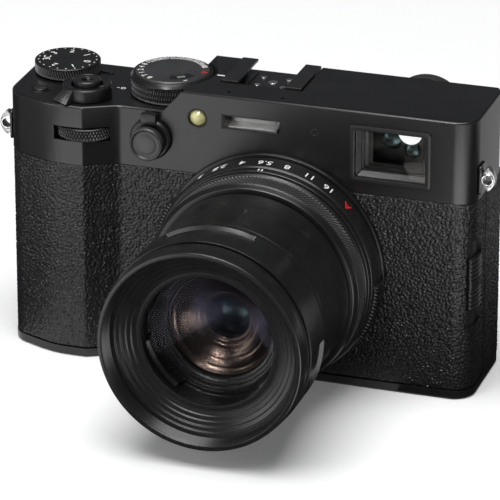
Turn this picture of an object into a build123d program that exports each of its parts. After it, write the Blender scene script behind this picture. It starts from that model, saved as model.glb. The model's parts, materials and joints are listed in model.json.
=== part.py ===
from build123d import *
import math
import os

# Fixed-lens rangefinder camera with a screw-on front converter.
# Millimetres. +Z up, the lens looks along -Y, +X is towards the finder.
# The origin is the mouth of the tripod socket, in the base plane below the lens axis.

# ---- driving dimensions -------------------------------------------------------------
LEFT, RIGHT = -71.4, 52.2        # ends of the body
FRONT = -14.0                    # front plane
TOP_REAR, REAR = 15.5, 17.0      # rear of the top cover, rear of the rear cover
DECK_REAR, SLOPE_DROP = 12.8, 4.8       # the decks' rear edge, and how far they slope down behind it
SEAM, UPPER, LOWER = 53.3, 75.0, 69.1   # top cover's lower edge, its two decks
STEP_FOOT, STEP_HEAD = -28.9, -23.7     # slope between the decks, along X
BASE = 2.4                       # bottom cover's thickness
WALL = 1.2                       # sheet walls
SKIN = 0.8                       # leatherette
SIDE_SPLIT = FRONT + 12.6        # where the front casting meets the rear cover
GAP = 0.1                        # between fixed pieces
GRIP_START, GRIP_X, GRIP_BULGE, GRIP_END = -58.0, -49.2, 4.3, -41.0
CORNER = 5.6
AXIS_Z = 31.5                    # lens axis height

BARREL, BORE = 24.0, 22.0        # lens barrel, converter thread
RUN = 0.05                       # radial running clearance of a ring or shaft
APERTURE_R, FOCUS_R = 28.9, 27.6
CONVERTER_REAR, CONVERTER_FRONT = 18.2, 58.7   # distances ahead of the front plane
FILTER_R, FILTER_LENGTH = 24.5, 4.0            # front filter thread
FRONT_GLASS_R, REAR_GLASS_R = 17.8, 18.0

SHUTTER_DIAL = (-31.0, FRONT + 13.4)
EXPOSURE_DIAL = (-61.5, FRONT + 19.0)
RELEASE = (-50.7, FRONT + 3.9)   # shutter release button
FN_BUTTON = (-63.8, FRONT + 4.9)
DIAL_R, DIAL_TOP = 10.8, 75.2
EXPOSURE_R, EXPOSURE_TOP = 8.5, 72.6
LEVER_R, RELEASE_R, RELEASE_TOP = 6.3, 3.5, 73.9
LEVER_ANGLE = -123.0             # direction of the power lever's tab

SHOE_X, SHOE_WIDTH, SHOE_SLOT, SHOE_LIP = -6.1, 21.0, 18.6, 3.0
SHOE_FRONT, SHOE_REAR, SHOE_FLOOR, SHOE_TOP = FRONT + 9.4, 12.6, 71.6, 75.5

LAMP = (-20.0, 68.1)
FLASH = (-13.6, 1.95, 66.2, 70.0)           # x low, x high, z low, z high
FINDER = (20.2, 41.0, 56.5, 71.4)           # bezel
FINDER_EYE = (25.0, 38.3, 60.8, 70.4)       # opening behind the glass
FINDER_LEVER = (-32.2, 61.4)
EYEPIECE, EYEPIECE_R = (31.2, 64.3), 10.0
COMMAND_Z = (59.9, 63.1)                    # both command dials
FRONT_DIAL = (-50.6, FRONT + 2.7, 7.8)      # x, y, radius
REAR_DIAL = (-52.0, 6.9, 7.6)

BATTERY = (-63.6, -27.2, -8.4, 7.3, 3.3, 50.4)
DOOR = (-64.9, -25.7, -9.7, 8.7)
DOOR_HINGE = (-64.2, 1.15)
TRIPOD_R, TRIPOD_BUSH = 3.175, 5.5

SCREEN = (-22.4, 46.4, 11.4, 49.6)          # housing: x low, x high, z low, z high
SCREEN_FACE, SCREEN_BACK = 17.5, 14.6
SCREEN_TOP_HINGE = (17.1, 49.2)             # y, z
SCREEN_LOW_HINGE = (14.9, 8.9)
PORTS = (0.2, 10.4, 10.0, 44.0)             # connector door: y low, y high, z low, z high
LUG_Y, LUG_Z, LUG_REACH, LUG_OUT, LUG_HOLE = FRONT + 6.5, 58.6, 1.9, 3.8, 1.2
SWITCH = (-12.2, -5.6, 24.0, 38.0)          # focus switch: y low, y high, z low, z high
SWITCH_POCKET = (19.6, 42.4)                # z low, z high
SWITCH_TRAVEL = 4.0
REAR_BUTTONS = {"menu_button": (-39.0, 31.0), "display_button": (-39.0, 20.5),
                "playback_button": (-53.0, 20.5), "drive_button": (-39.0, 10.0)}
JOYSTICK = (-39.0, 43.5)
SCREWS = ((-66.5, -11.5), (-66.5, 11.5), (-21.0, 13.0), (46.5, 12.0), (46.5, -9.5), (14.0, -11.0))

parts = {}


# ---- helpers ------------------------------------------------------------------------
def block(x0, x1, y0, y1, z0, z1):
    return Pos((x0 + x1) / 2, (y0 + y1) / 2, (z0 + z1) / 2) * Box(x1 - x0, y1 - y0, z1 - z0)


def rod_x(r, x0, x1, y, z):
    return Pos((x0 + x1) / 2, y, z) * Rot(0, 90, 0) * Cylinder(r, x1 - x0)


def rod_y(r, y0, y1, x, z):
    return Pos(x, (y0 + y1) / 2, z) * Rot(90, 0, 0) * Cylinder(r, y1 - y0)


def rod_z(r, z0, z1, x, y):
    return Pos(x, y, (z0 + z1) / 2) * Cylinder(r, z1 - z0)


def turned_z(profile, centre):
    """Revolve (radius, z) points about a vertical axis."""
    face = make_face(Plane.XZ * Polyline(*profile, close=True))
    return Pos(centre[0], centre[1], 0) * revolve(face, Axis.Z)


def turned_lens(profile):
    """Revolve (radius, distance ahead of the front plane) points about the lens axis."""
    points = [(r, FRONT - ahead) for r, ahead in profile]
    return Pos(0, 0, AXIS_Z) * revolve(make_face(Polyline(*points, close=True)), Axis.Y)


def lens_ring(outer, inner, ahead0, ahead1, bevel=0.0):
    rim = [(outer, ahead1 - bevel), (outer - bevel, ahead1)] if bevel else [(outer, ahead1)]
    return turned_lens([(inner, ahead0), (outer, ahead0)] + rim + [(inner, ahead1)])


def lens_dome(radius, ahead0, ahead_edge, ahead_top):
    """Glass disc with a flat back and a domed front."""
    sag = ahead_top - ahead_edge
    curve = (radius ** 2 + sag ** 2) / (2 * sag)
    disc = rod_y(radius, FRONT - ahead_top - 1, FRONT - ahead0, 0, AXIS_Z)
    return disc & Pos(0, FRONT - ahead_top + curve, AXIS_Z) * Sphere(curve)


def lens_sector(angle, half):
    """Endless wedge about the lens axis, from the right-hand side of the front view."""
    x, z = 60 * math.cos(math.radians(half)), 60 * math.sin(math.radians(half))
    wedge = make_face(Plane.XZ * Polyline((0, 0), (x, z), (x, -z), close=True))
    return Pos(0, 0, AXIS_Z) * Rot(0, -angle, 0) * extrude(wedge, amount=90, both=True)


def outline(rear, inset=0.0):
    """Plan of the body: rounded ends and a shallow swell for the fingers at the grip."""
    swell = FRONT - GRIP_BULGE
    corners = [(LEFT, rear), (LEFT, FRONT + 1.5), (GRIP_START, swell), (GRIP_X, swell), (GRIP_END, FRONT),
               (RIGHT, FRONT), (RIGHT, rear)]
    face = make_face(FilletPolyline(*corners, radius=[6, 7, 22, 1.6, 5, CORNER, 6], close=True))
    return offset(face, amount=-inset) if inset else face


def prism(rear, z0, z1, inset=0.0):
    return extrude(Pos(0, 0, z0) * outline(rear, inset), amount=z1 - z0)


def wall(rear, z0, z1, outer, inner):
    return prism(rear, z0, z1, outer) - prism(rear, z0 - 1, z1 + 1, inner)


def corner_block(y0, y1, z0, z1):
    """The part of the body's front corner at the finder end that lies between these limits."""
    return block(RIGHT - CORNER, RIGHT + 2, y0, y1, z0, z1)


def save(name, shape):
    parts[name] = shape


# ---- covers and casting -------------------------------------------------------------
def decks(inset, drop):
    """The two-level top cover as a solid, shrunk sideways by inset and lowered by drop."""
    solid = prism(TOP_REAR, SEAM, UPPER - drop, inset)
    low, foot, head = LOWER - drop, STEP_FOOT + inset, STEP_HEAD + inset
    step = make_face(Plane.XZ * Polyline((LEFT - 9, low), (foot, low), (head, UPPER - drop),
                                         (head, UPPER + 9), (LEFT - 9, UPPER + 9), close=True))
    solid -= Pos(0, 40, 0) * extrude(step, amount=80)
    for level, x0, x1 in ((UPPER, foot, RIGHT + 9), (LOWER, LEFT - 9, foot)):
        solid -= rear_slope(level - drop, x0, x1, inset)
    return solid


def rear_slope(level, x0, x1, inset):
    """What the sloping rear edge of a deck takes away."""
    edge, rear = DECK_REAR - inset, TOP_REAR - inset
    profile = Plane.YZ * Polyline((edge, level), (rear, level - SLOPE_DROP), (rear + 9, level - SLOPE_DROP),
                                  (rear + 9, level + 9), (edge, level + 9), close=True)
    return Pos((x0 + x1) / 2, 0, 0) * extrude(make_face(profile), amount=(x1 - x0) / 2, both=True)


def top_edges(solid):
    """Front and side rims of both decks."""
    rims = []
    for level in (UPPER, LOWER):
        for edge in solid.edges().filter_by_position(Axis.Z, level - 0.01, level + 0.01):
            middle = edge.center()
            on_step = min(abs(middle.X - STEP_HEAD), abs(middle.X - STEP_FOOT)) < 0.1
            if middle.Y < DECK_REAR - 0.1 and not on_step:
                rims.append(edge)
    return rims


def top_cover():
    outer = decks(0, 0)
    outer = fillet(top_edges(outer), 0.6)
    shoe_x0, shoe_x1 = SHOE_X - SHOE_WIDTH / 2 - 0.3, SHOE_X + SHOE_WIDTH / 2 + 0.3
    tub = block(shoe_x0 - WALL, shoe_x1 + WALL, SHOE_FRONT - 0.3 - WALL, TOP_REAR, SHOE_FLOOR - WALL, UPPER)
    cup = rod_z(DIAL_R + 0.6 + WALL, LOWER - WALL, UPPER, *SHUTTER_DIAL)
    boss = rod_z(RELEASE_R + 1.4, COMMAND_Z[1] + 0.5, LOWER, *RELEASE)
    cover = outer - (decks(WALL, WALL) - tub - cup - boss)
    cover -= block(shoe_x0, shoe_x1, SHOE_FRONT - 0.3, TOP_REAR + 1, SHOE_FLOOR, UPPER + 1)
    cover -= rod_z(DIAL_R + 0.6, LOWER, UPPER + 1, *SHUTTER_DIAL)
    # release boss: bore for the button, spring seat below it
    cover -= rod_z(RELEASE_R + 0.1, COMMAND_Z[1] + 1.6, UPPER, *RELEASE)
    cover -= rod_z(2.1, COMMAND_Z[1], UPPER, *RELEASE)
    cover -= rod_z(3.0 + RUN, LOWER - 3, LOWER + 1, *SHUTTER_DIAL)
    cover -= rod_z(2.0 + RUN, LOWER - 3, LOWER + 1, *EXPOSURE_DIAL)
    cover -= rod_z(2.0, LOWER - 3, LOWER + 1, *FN_BUTTON)
    # front face
    slot = (COMMAND_Z[0] - 0.3, COMMAND_Z[1] + 0.3)
    cover -= block(-57.0, -42.9, FRONT - 7, FRONT + 3, *slot)
    cover -= block(-58.2, -45.8, TOP_REAR - 2, TOP_REAR + 1, *slot)
    cover -= rod_y(1.5 + RUN, FRONT - 1, FRONT + 2, *FINDER_LEVER)
    cover -= rod_y(2.65, FRONT - 1, FRONT + 2, *LAMP)
    cover -= block(FLASH[0], FLASH[1], FRONT - 1, FRONT + 2, FLASH[2], FLASH[3])
    cover -= block(FINDER[0] + 0.8, FINDER[1] - 0.8, FRONT - 1, FRONT + 2, FINDER[2] + 0.8, FINDER[3] - 0.8)
    for x in (-12.6, 1.6):
        cover -= rod_z(0.45, UPPER - 2, UPPER + 1, x, FRONT + 3)
    # rear face and the lens
    cover -= rod_y(6.7, TOP_REAR - 2, TOP_REAR + 1, *EYEPIECE)
    cover -= rod_y(1.0, TOP_REAR - 2, TOP_REAR + 1, 45.6, EYEPIECE[1])
    cover -= rod_y(BARREL + 0.2, FRONT - 1, FRONT + 4, 0, AXIS_Z)
    save("top_cover", cover)


def bottom_cover():
    plate = prism(REAR, 0, BASE)
    plate = chamfer(plate.edges().filter_by_position(Axis.Z, -0.01, 0.01), 0.5)
    plate -= rod_z(TRIPOD_BUSH + GAP, -1, BASE + 1, 0, 0)
    plate -= block(DOOR[0] - 1.0, DOOR[1] + 0.3, DOOR[2] - 0.3, DOOR[3] + 0.3, -1, BASE + 1)
    plate -= rod_y(0.6 + RUN, DOOR[2] - 1.6, DOOR[3] + 1.6, *DOOR_HINGE)
    for x, y in SCREWS:
        plate -= rod_z(1.5, -1, 1.2, x, y)
        plate -= rod_z(0.85, -1, BASE + 1, x, y)
    save("bottom_cover", plate)


def chassis():
    """Front casting: shell behind the leatherette, base rib for the tripod bush, rear posts."""
    shell = wall(REAR, BASE + GAP, SEAM - GAP, SKIN, SKIN + WALL)
    shell &= block(LEFT, RIGHT, FRONT - 9, SIDE_SPLIT - GAP, 0, SEAM)
    shell += block(-22, 46, FRONT + 1.5, 9, BASE + GAP, BASE + 1.7)
    inner = prism(REAR, BASE, SEAM, SKIN + GAP)
    for x, r, rear, heights in ((46.5, 2.2, 11.7, (13, 46.5)), (-67.6, 1.6, 11.0, (6.5, 48.5))):
        for z in heights:
            shell += rod_y(r, FRONT, rear, x, z) & inner
    shell -= rod_y(BARREL + GAP, FRONT - 1, FRONT + 3, 0, AXIS_Z)
    shell -= rod_z(TRIPOD_BUSH + GAP, 0, BASE + 3, 0, 0)
    stem_y, stem_z = (SWITCH[0] + SWITCH[1]) / 2, (SWITCH[2] + SWITCH[3]) / 2
    reach = SWITCH_TRAVEL + 2.0
    shell -= block(RIGHT - 5, RIGHT, stem_y - 0.9, stem_y + 0.9, stem_z - reach, stem_z + reach)
    shell -= wall(REAR, *SWITCH_POCKET, -1.0, 1.0) & corner_block(SWITCH[0] - 0.3, SWITCH[1] + 0.3, *SWITCH_POCKET)
    for x, y in SCREWS:
        shell -= rod_z(0.85, 0, BASE + 4, x, y)
    save("chassis", shell)


def leatherette():
    skin = wall(REAR, BASE + GAP, SEAM - GAP, 0, SKIN - 0.02)
    skin &= block(LEFT - 1, RIGHT + 1, FRONT - 9, SIDE_SPLIT - GAP, 0, SEAM)
    skin -= rod_y(BARREL + 0.3, FRONT - 1, FRONT + 4, 0, AXIS_Z)
    skin -= corner_block(SWITCH[0] - 0.4, SWITCH[1] + 0.4, SWITCH_POCKET[0] - 0.1, SWITCH_POCKET[1] + 0.1)
    save("grip_leather", skin & block(LEFT - 1, -0.05, FRONT - 9, 0, 0, SEAM))
    save("finder_side_leather", skin & block(0.05, RIGHT + 1, FRONT - 9, 0, 0, SEAM))


def rear_cover():
    z0, z1 = BASE + GAP, SEAM - GAP
    shell = wall(REAR, z0, z1, 0, 1.4) & block(LEFT - 1, RIGHT + 1, SIDE_SPLIT, REAR + 1, 0, SEAM)
    x0, x1, low, high = SCREEN
    tray = block(x0 - 1.8, x1 + 1.8, 11.8, REAR - 0.5, 5.2, 52.6)
    shell += tray
    shell -= block(x0 - 0.6, x1 + 0.6, 13.0, REAR + 1, low - 5.0, high + 0.8)
    rest = block(-69.0, -47.0, REAR - 1.0, REAR + 2.4, 36.0, 52.0)
    rest = fillet(rest.edges().filter_by(Axis.Z).group_by(Axis.Y)[-1], 2.0)
    shell += fillet(rest.edges().group_by(Axis.Z)[0].sort_by(Axis.Y)[-1], 2.0)
    # connector door's frame, with its hinge sockets
    y0, y1, p0, p1 = PORTS
    shell -= block(LEFT - 1, LEFT + 2, y0 - 0.3, y1 + 0.5, p0 - 0.3, p1 + 0.3)
    shell -= rod_z(0.35 + RUN, p0 - 1.4, p1 + 1.4, LEFT + 0.6, y1 - 0.4)
    for x, z in REAR_BUTTONS.values():
        shell -= rod_y(2.7, 14, REAR + 1, x, z)
    x, z = JOYSTICK
    shell += rod_y(4.4, 12.0, 16.0, x, z)
    shell -= rod_y(3.4, 11, REAR + 1, x, z)
    shell -= rod_x(0.4 + RUN, x - 5, x + 5, 13.0, z)
    # sockets for the screen's lower hinge pin
    shell -= rod_x(0.8 + RUN, x0 - 1.4, x1 + 1.4, *SCREEN_LOW_HINGE)
    save("rear_cover", shell)


# ---- lens and converter -------------------------------------------------------------
def lens():
    save("lens_base_ring", lens_ring(29.8, BARREL + 0.1, 0.02, 1.05, 0.3))
    save("lens_barrel", turned_lens([
        (11, -3.2), (25.8, -3.2), (25.8, -2.1), (BARREL, -2.1), (BARREL, 8.0), (28.4, 8.0),
        (28.4, 9.4), (28.2, 9.6), (BARREL, 9.6), (BARREL, 17.2), (BORE, 17.2), (BORE, 13.5),
        (15, 13.5), (15, 6.5), (17, 6.5), (17, 4.0), (11, 4.0)]))
    ring = turned_lens([(BARREL + RUN, 1.25), (APERTURE_R - 0.3, 1.25), (APERTURE_R, 1.6),
                        (APERTURE_R, 7.2), (APERTURE_R - 0.3, 7.8), (BARREL + RUN, 7.8)])
    grips = [lens_tab(angle) for angle in (-16, 164)]
    save("aperture_ring", ring + grips[0] + grips[1])
    save("focus_ring", turned_lens([
        (BARREL + RUN, 9.8), (FOCUS_R + 0.4, 9.8), (FOCUS_R + 0.4, 10.6), (FOCUS_R, 10.8),
        (FOCUS_R, 15.9), (FOCUS_R - 0.3, 16.1), (26.8, 17.4), (26.5, 17.6), (BARREL + RUN, 17.6)]))
    save("front_element", lens_dome(15.0 - 0.01, 7.4, 9.4, 12.6))
    blades = turned_lens([(5.5, 5.0), (16.6, 5.0), (16.6, 5.3), (5.5, 5.3)])
    for i in range(9):
        cut = Pos(0, FRONT - 5.1, AXIS_Z) * Rot(0, i * 40, 0) * Pos(11, 0, 0) * Box(14, 1, 0.12)
        blades -= cut
    save("iris_blades", blades)


def lens_tab(angle):
    """Finger grip on the aperture ring, 34 degrees long."""
    return lens_ring(APERTURE_R + 1.1, APERTURE_R - 0.6, 2.4, 7.0, 0.4) & lens_sector(angle, 17)


def converter():
    barrel = turned_lens([
        (20.0, 14.2), (BORE - 0.15, 14.2), (BORE - 0.15, CONVERTER_REAR), (25.6, CONVERTER_REAR),
        (24.7, 24.0), (24.7, 36.2), (25.4, 36.4), (25.4, 38.0), (25.0, 38.1), (25.0, 38.4),
        (25.8, 38.6), (25.8, 41.0), (26.6, 41.4), (26.6, 52.4), (25.3, 52.4), (25.3, 50.6),
        (FRONT_GLASS_R, 50.6), (FRONT_GLASS_R, 43.8), (16.6, 43.8), (16.6, 26.4),
        (REAR_GLASS_R, 26.4), (REAR_GLASS_R, 19.6), (20.0, 19.6)])
    for angle in (95, -25, 215):
        barrel -= bayonet_recess(angle)
    save("converter_barrel", barrel)
    save("converter_front_ring", turned_lens([
        (16.9, 50.7), (25.2, 50.7), (25.2, 53.2), (26.3, 53.2), (26.3, 56.0), (26.0, 58.5),
        (25.8, CONVERTER_FRONT), (FILTER_R + 0.3, CONVERTER_FRONT), (FILTER_R, 58.4),
        (FILTER_R, CONVERTER_FRONT - FILTER_LENGTH - 0.3), (23.2, CONVERTER_FRONT - FILTER_LENGTH - 0.3),
        (18.0, 51.9), (16.9, 51.9)]))
    save("converter_front_glass", lens_dome(FRONT_GLASS_R - 0.01, 44.0, 50.4, 53.6)
         - lens_ring(FRONT_GLASS_R + 1, 16.8, 50.6, 60))
    save("converter_rear_glass", lens_ring(REAR_GLASS_R - 0.01, 0.0, 20.0, 26.2))


def bayonet_recess(angle):
    return lens_ring(28, 25.7, 42.2, 47.4) & lens_sector(angle, 26)


# ---- controls on the top ------------------------------------------------------------
def top_controls():
    gap_z = LOWER + 0.3
    save("shutter_dial", turned_z([
        (0, 64.4), (3.0, 64.4), (3.0, gap_z), (9.55, gap_z), (9.55, DIAL_TOP - 0.4),
        (9.15, DIAL_TOP), (0, DIAL_TOP)], SHUTTER_DIAL))
    save("iso_ring", turned_z([
        (9.7, gap_z), (DIAL_R, gap_z), (DIAL_R, DIAL_TOP - 1.3), (DIAL_R - 0.8, DIAL_TOP - 0.4),
        (9.7, DIAL_TOP - 0.4)], SHUTTER_DIAL))
    save("exposure_dial", turned_z([
        (0, 65.0), (2.0, 65.0), (2.0, gap_z), (EXPOSURE_R - 0.2, gap_z), (EXPOSURE_R, gap_z + 0.2),
        (EXPOSURE_R, EXPOSURE_TOP - 0.3), (EXPOSURE_R - 0.3, EXPOSURE_TOP), (0, EXPOSURE_TOP)], EXPOSURE_DIAL))
    lever = turned_z([(RELEASE_R + 0.6, gap_z), (LEVER_R, gap_z), (LEVER_R, 72.4),
                      (LEVER_R - 0.3, 72.7), (RELEASE_R + 0.6, 72.7)], RELEASE)
    tab = block(LEVER_R - 1.2, LEVER_R + 3.0, -2.3, 2.3, gap_z + 0.2, 71.6)
    tab = fillet(tab.edges().filter_by(Axis.Z).group_by(Axis.X)[-1], 1.6)
    save("power_lever", lever + Pos(RELEASE[0], RELEASE[1], 0) * Rot(0, 0, LEVER_ANGLE) * tab)
    button = turned_z([
        (0, 65.2), (1.9, 65.2), (1.9, 70.6), (RELEASE_R, 70.6), (RELEASE_R, RELEASE_TOP - 0.4),
        (RELEASE_R - 0.4, RELEASE_TOP), (2.2, RELEASE_TOP - 0.2), (0, RELEASE_TOP - 0.2)], RELEASE)
    save("shutter_button", button - rod_z(1.45, RELEASE_TOP - 3.2, UPPER, *RELEASE))
    spring_foot = COMMAND_Z[1] + 1.65
    save("shutter_spring", rod_z(2.9, spring_foot, 70.55, *RELEASE) - rod_z(2.4, 60, UPPER, *RELEASE))
    save("fn_button", turned_z([
        (0, 66.2), (2.7, 66.2), (2.7, 66.8), (1.9, 66.8), (1.9, LOWER + 0.3), (1.7, LOWER + 0.45),
        (0, LOWER + 0.45)], FN_BUTTON))


def hot_shoe():
    x0, x1 = SHOE_X - SHOE_WIDTH / 2, SHOE_X + SHOE_WIDTH / 2
    s0, s1 = SHOE_X - SHOE_SLOT / 2, SHOE_X + SHOE_SLOT / 2
    shoe = block(x0, x1, SHOE_FRONT, SHOE_REAR, SHOE_FLOOR + 0.05, SHOE_TOP)
    shoe -= block(s0, s1, SHOE_FRONT + 1.0, SHOE_REAR + 1, SHOE_FLOOR + 0.65, SHOE_TOP - 0.7)
    shoe -= block(s0 + SHOE_LIP, s1 - SHOE_LIP, SHOE_FRONT - 1, SHOE_REAR + 1, SHOE_FLOOR + 0.65, UPPER + 5)
    save("hot_shoe", shoe)
    floor = SHOE_FLOOR + 0.65
    plate = block(SHOE_X - 5.2, SHOE_X + 5.2, SHOE_FRONT + 2.0, SHOE_REAR - 1.5, floor, floor + 0.25)
    contacts = ((0, 1.0), (-3.4, 3.9), (3.4, 3.9), (-3.4, -1.6), (3.4, -1.6))
    middle = (SHOE_FRONT + SHOE_REAR) / 2
    for dx, dy in contacts:
        plate += rod_z(0.95, floor + 0.1, floor + 0.45, SHOE_X + dx, middle + dy)
    save("shoe_contacts", plate)


def command_dials():
    z0, z1 = COMMAND_Z
    for name, (x, y, r) in (("front_dial", FRONT_DIAL), ("rear_dial", REAR_DIAL)):
        save(name, turned_z([
            (0, z0 - 1.6), (1.2, z0 - 1.6), (1.2, z0), (r - 0.3, z0), (r, z0 + 0.3),
            (r, z1 - 0.3), (r - 0.3, z1), (0, z1)], (x, y)))


def front_controls():
    x, z = FINDER_LEVER
    lever = rod_y(5.4, FRONT - 1.7, FRONT - 0.3, x, z)
    lever += block(x - 1.95, x + 1.95, FRONT - 2.6, FRONT - 0.5, z + 4.4, z + 7.5)
    lever += rod_y(1.5, FRONT - 1, FRONT + 2.6, x, z)
    save("finder_lever", lever - rod_y(0.7 + RUN, FRONT - 4, FRONT + 4, x, z))
    cap = rod_y(4.4, FRONT - 4.7, FRONT - 2.9, x, z - 0.3)
    save("finder_lever_button", chamfer(cap.edges().sort_by(Axis.Y)[0], 0.4)
         + rod_y(0.7, FRONT - 3.5, FRONT + 3.2, x, z))
    lamp = rod_y(2.6, FRONT - 0.1, FRONT + 2, *LAMP)
    dome = Pos(LAMP[0], FRONT + 3.4, LAMP[1]) * Sphere(4.3)
    save("af_lamp", lamp + (dome & rod_y(2.25, FRONT - 1.2, FRONT + 1, *LAMP)))
    x0, x1, z0, z1 = FLASH
    save("flash_window", block(x0 + 0.05, x1 - 0.05, FRONT, FRONT + 0.8, z0 + 0.05, z1 - 0.05))
    bowl = block(x0 + 1.6, x1 - 1.4, FRONT + 0.85, FRONT + 4.4, z0 + 0.2, z1 - 0.2)
    hollow = block(x0 + 2.2, x1 - 2.0, FRONT, FRONT + 3.9, z0 + 0.7, z1 - 0.7)
    save("flash_reflector", bowl - hollow)
    save("flash_tube", rod_x(0.6, x0 + 2.3, x1 - 2.1, FRONT + 3.1, (z0 + z1) / 2))


def finder():
    x0, x1, z0, z1 = FINDER
    bezel = block(x0, x1, FRONT - 0.6, FRONT - 0.02, z0, z1)
    bezel += block(x0 + 0.85, x1 - 0.85, FRONT - 0.3, FRONT + 3.0, z0 + 0.85, z1 - 0.85)
    bezel -= block(x0 + 1.3, x1 - 1.3, FRONT - 1, FRONT + 0.9, z0 + 1.3, z1 - 0.9 - 0.4)
    e0, e1, f0, f1 = FINDER_EYE
    bezel -= block(e0, e1, FRONT - 1, FRONT + 4, f0, f1 - 0.6)
    save("finder_bezel", bezel)
    save("finder_window", block(x0 + 1.35, x1 - 1.35, FRONT - 0.2, FRONT + 0.6, z0 + 1.35, z1 - 1.35))
    save("finder_prism", block(e0 + 0.4, e1 - 0.4, FRONT + 3.3, 9.0, f0 + 0.3, f1 - 0.6))
    x, z = EYEPIECE
    cup = rod_y(EYEPIECE_R, TOP_REAR + 0.02, TOP_REAR + 4, x, z)
    cup = fillet(cup.edges().sort_by(Axis.Y)[-1], 1.2)
    cup += rod_y(6.65, TOP_REAR - 2.5, TOP_REAR + 1, x, z)
    save("eyepiece", cup - block(x - 4.3, x + 4.3, 0, 30, z - 3.2, z + 3.2)
         - rod_y(5.6, TOP_REAR - 0.5, TOP_REAR + 1.5, x, z))
    save("eyepiece_lens", rod_y(5.55, TOP_REAR - 0.4, TOP_REAR + 1.4, x, z))
    knob = rod_y(2.6, TOP_REAR + 0.3, TOP_REAR + 2.6, 45.6, z)
    knob = chamfer(knob.edges().sort_by(Axis.Y)[-1], 0.4)
    save("diopter_dial", knob + rod_y(0.95, TOP_REAR - 2.5, TOP_REAR + 1, 45.6, z))


# ---- inside -------------------------------------------------------------------------
def inside():
    sensor = block(-14, 14, 1.0, 3.0, AXIS_Z - 10.5, AXIS_Z + 10.5)
    save("image_sensor", sensor + block(-19, 19, 3.0, 4.0, AXIS_Z - 15, AXIS_Z + 15))
    board = block(-22, 43, 8.4, 9.6, 9, 50)
    for x, z, w, h in ((-6, 30, 15, 15), (16, 36, 12, 12), (16, 18, 14, 9), (34, 28, 9, 18)):
        board += block(x - w / 2, x + w / 2, 9.5, 11.0, z - h / 2, z + h / 2)
    save("main_board", board)
    x0, x1, y0, y1, z0, z1 = BATTERY
    cell = block(x0, x1, y0, y1, z0, z1)
    save("battery", fillet(cell.edges().filter_by(Axis.Z), 1.5))
    chamber = block(x0 - 0.9, x1 + 0.9, y0 - 0.9, y1 + 0.9, BASE + 0.3, z1 + 1.1)
    chamber -= block(x0 - 0.1, x1 + 0.1, y0 - 0.1, y1 + 0.1, 0, z1 + 0.1)
    save("battery_chamber", chamber)
    bush = turned_z([(TRIPOD_R, 0), (TRIPOD_BUSH, 0), (TRIPOD_BUSH, BASE + 1.75), (7.5, BASE + 1.75),
                     (7.5, BASE + 3.2), (4.6, BASE + 3.2), (4.6, 7.2), (0, 7.2), (0, 6.2), (TRIPOD_R, 6.2)], (0, 0))
    save("tripod_socket", bush)
    screws = None
    for x, y in SCREWS:
        screw = turned_z([(0, 0.55), (0.5, 0.55), (0.5, 0.15), (1.35, 0.15), (1.35, 1.15),
                          (0.75, 1.15), (0.75, BASE + 1.4), (0, BASE + 1.4)], (x, y))
        screws = screw if screws is None else screws + screw
    save("body_screws", screws)


# ---- doors, screen and rear controls ------------------------------------------------
def battery_door():
    x0, x1, y0, y1 = DOOR
    door = block(x0, x1, y0, y1, 0.1, 2.1)
    door += rod_y(0.6, y0 - 1.2, y1 + 1.2, *DOOR_HINGE)
    latch_x0, latch_x1, half = x1 - 8.5, x1 - 0.8, 3.6
    door -= block(latch_x0, latch_x1, -half, half, -1, 1.4)
    save("battery_door", door)
    latch = block(latch_x0 + 2.3, latch_x1 - 0.2, -half + 0.2, half - 0.2, 0.3, 1.25)
    for i in range(4):
        groove_x = latch_x0 + 3.2 + i * 1.0
        latch -= block(groove_x, groove_x + 0.4, -half + 0.8, half - 0.8, 0, 0.6)
    save("battery_latch", latch)


def connector_door():
    y0, y1, z0, z1 = PORTS
    door = block(LEFT + 0.1, LEFT + 1.1, y0, y1, z0, z1)
    door += rod_z(0.35, z0 - 1.1, z1 + 1.1, LEFT + 0.6, y1 - 0.4)
    save("connector_door", door - block(LEFT, LEFT + 0.5, y0 + 0.01, y0 + 0.9, 24, 30))
    body = block(LEFT + 1.8, LEFT + 6.3, y0 + 1.2, y1 - 0.8, z0 + 2, z1 - 2)
    middle = (y0 + y1) / 2
    for z, height, width in ((16.5, 8.6, 3.0), (27.0, 6.4, 2.8)):
        body -= block(LEFT, LEFT + 5.5, middle - width / 2, middle + width / 2, z - height / 2, z + height / 2)
    body -= rod_x(1.35, LEFT, LEFT + 5.5, middle, 36.5)
    save("connector_sockets", body)


def screen():
    x0, x1, z0, z1 = SCREEN
    ty, tz = SCREEN_TOP_HINGE
    ly, lz = SCREEN_LOW_HINGE
    housing = block(x0 + 1.8, x1 - 1.8, SCREEN_BACK, SCREEN_FACE, z0, z1)
    housing -= block(x0 + 4.0, x1 - 4.0, SCREEN_FACE - 0.8, REAR + 9, z0 + 2.0, z1 - 2.0)
    housing -= rod_x(0.6 + RUN, x0, x1, ty, tz) - block(x0 + 3.4, x1 - 3.4, 0, 40, 0, 60)
    save("screen_housing", housing)
    save("screen_glass", block(x0 + 4.05, x1 - 4.05, SCREEN_FACE - 0.75, SCREEN_FACE - 0.05, z0 + 2.05, z1 - 2.05))
    arm = block(x0 + 0.2, x1 - 0.2, 13.3, 14.2, lz, z1 - 0.6)
    arm += rod_x(1.3, x0 + 0.2, x1 - 0.2, ly, lz)
    for side in (x0 + 0.2, x1 - 1.4):
        arm += block(side, side + 1.2, 13.3, ty, tz - 2.2, tz)
        arm += rod_x(1.2, side, side + 1.2, ty, tz - 0.4)
    arm += rod_x(0.8, x0 - 1.2, x1 + 1.2, ly, lz)
    for a, b in ((x0 + 0.2, x0 + 3.2), (x1 - 3.2, x1 - 0.2)):
        arm += rod_x(0.6, a, b, ty, tz)
    save("screen_arm", arm)


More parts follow.
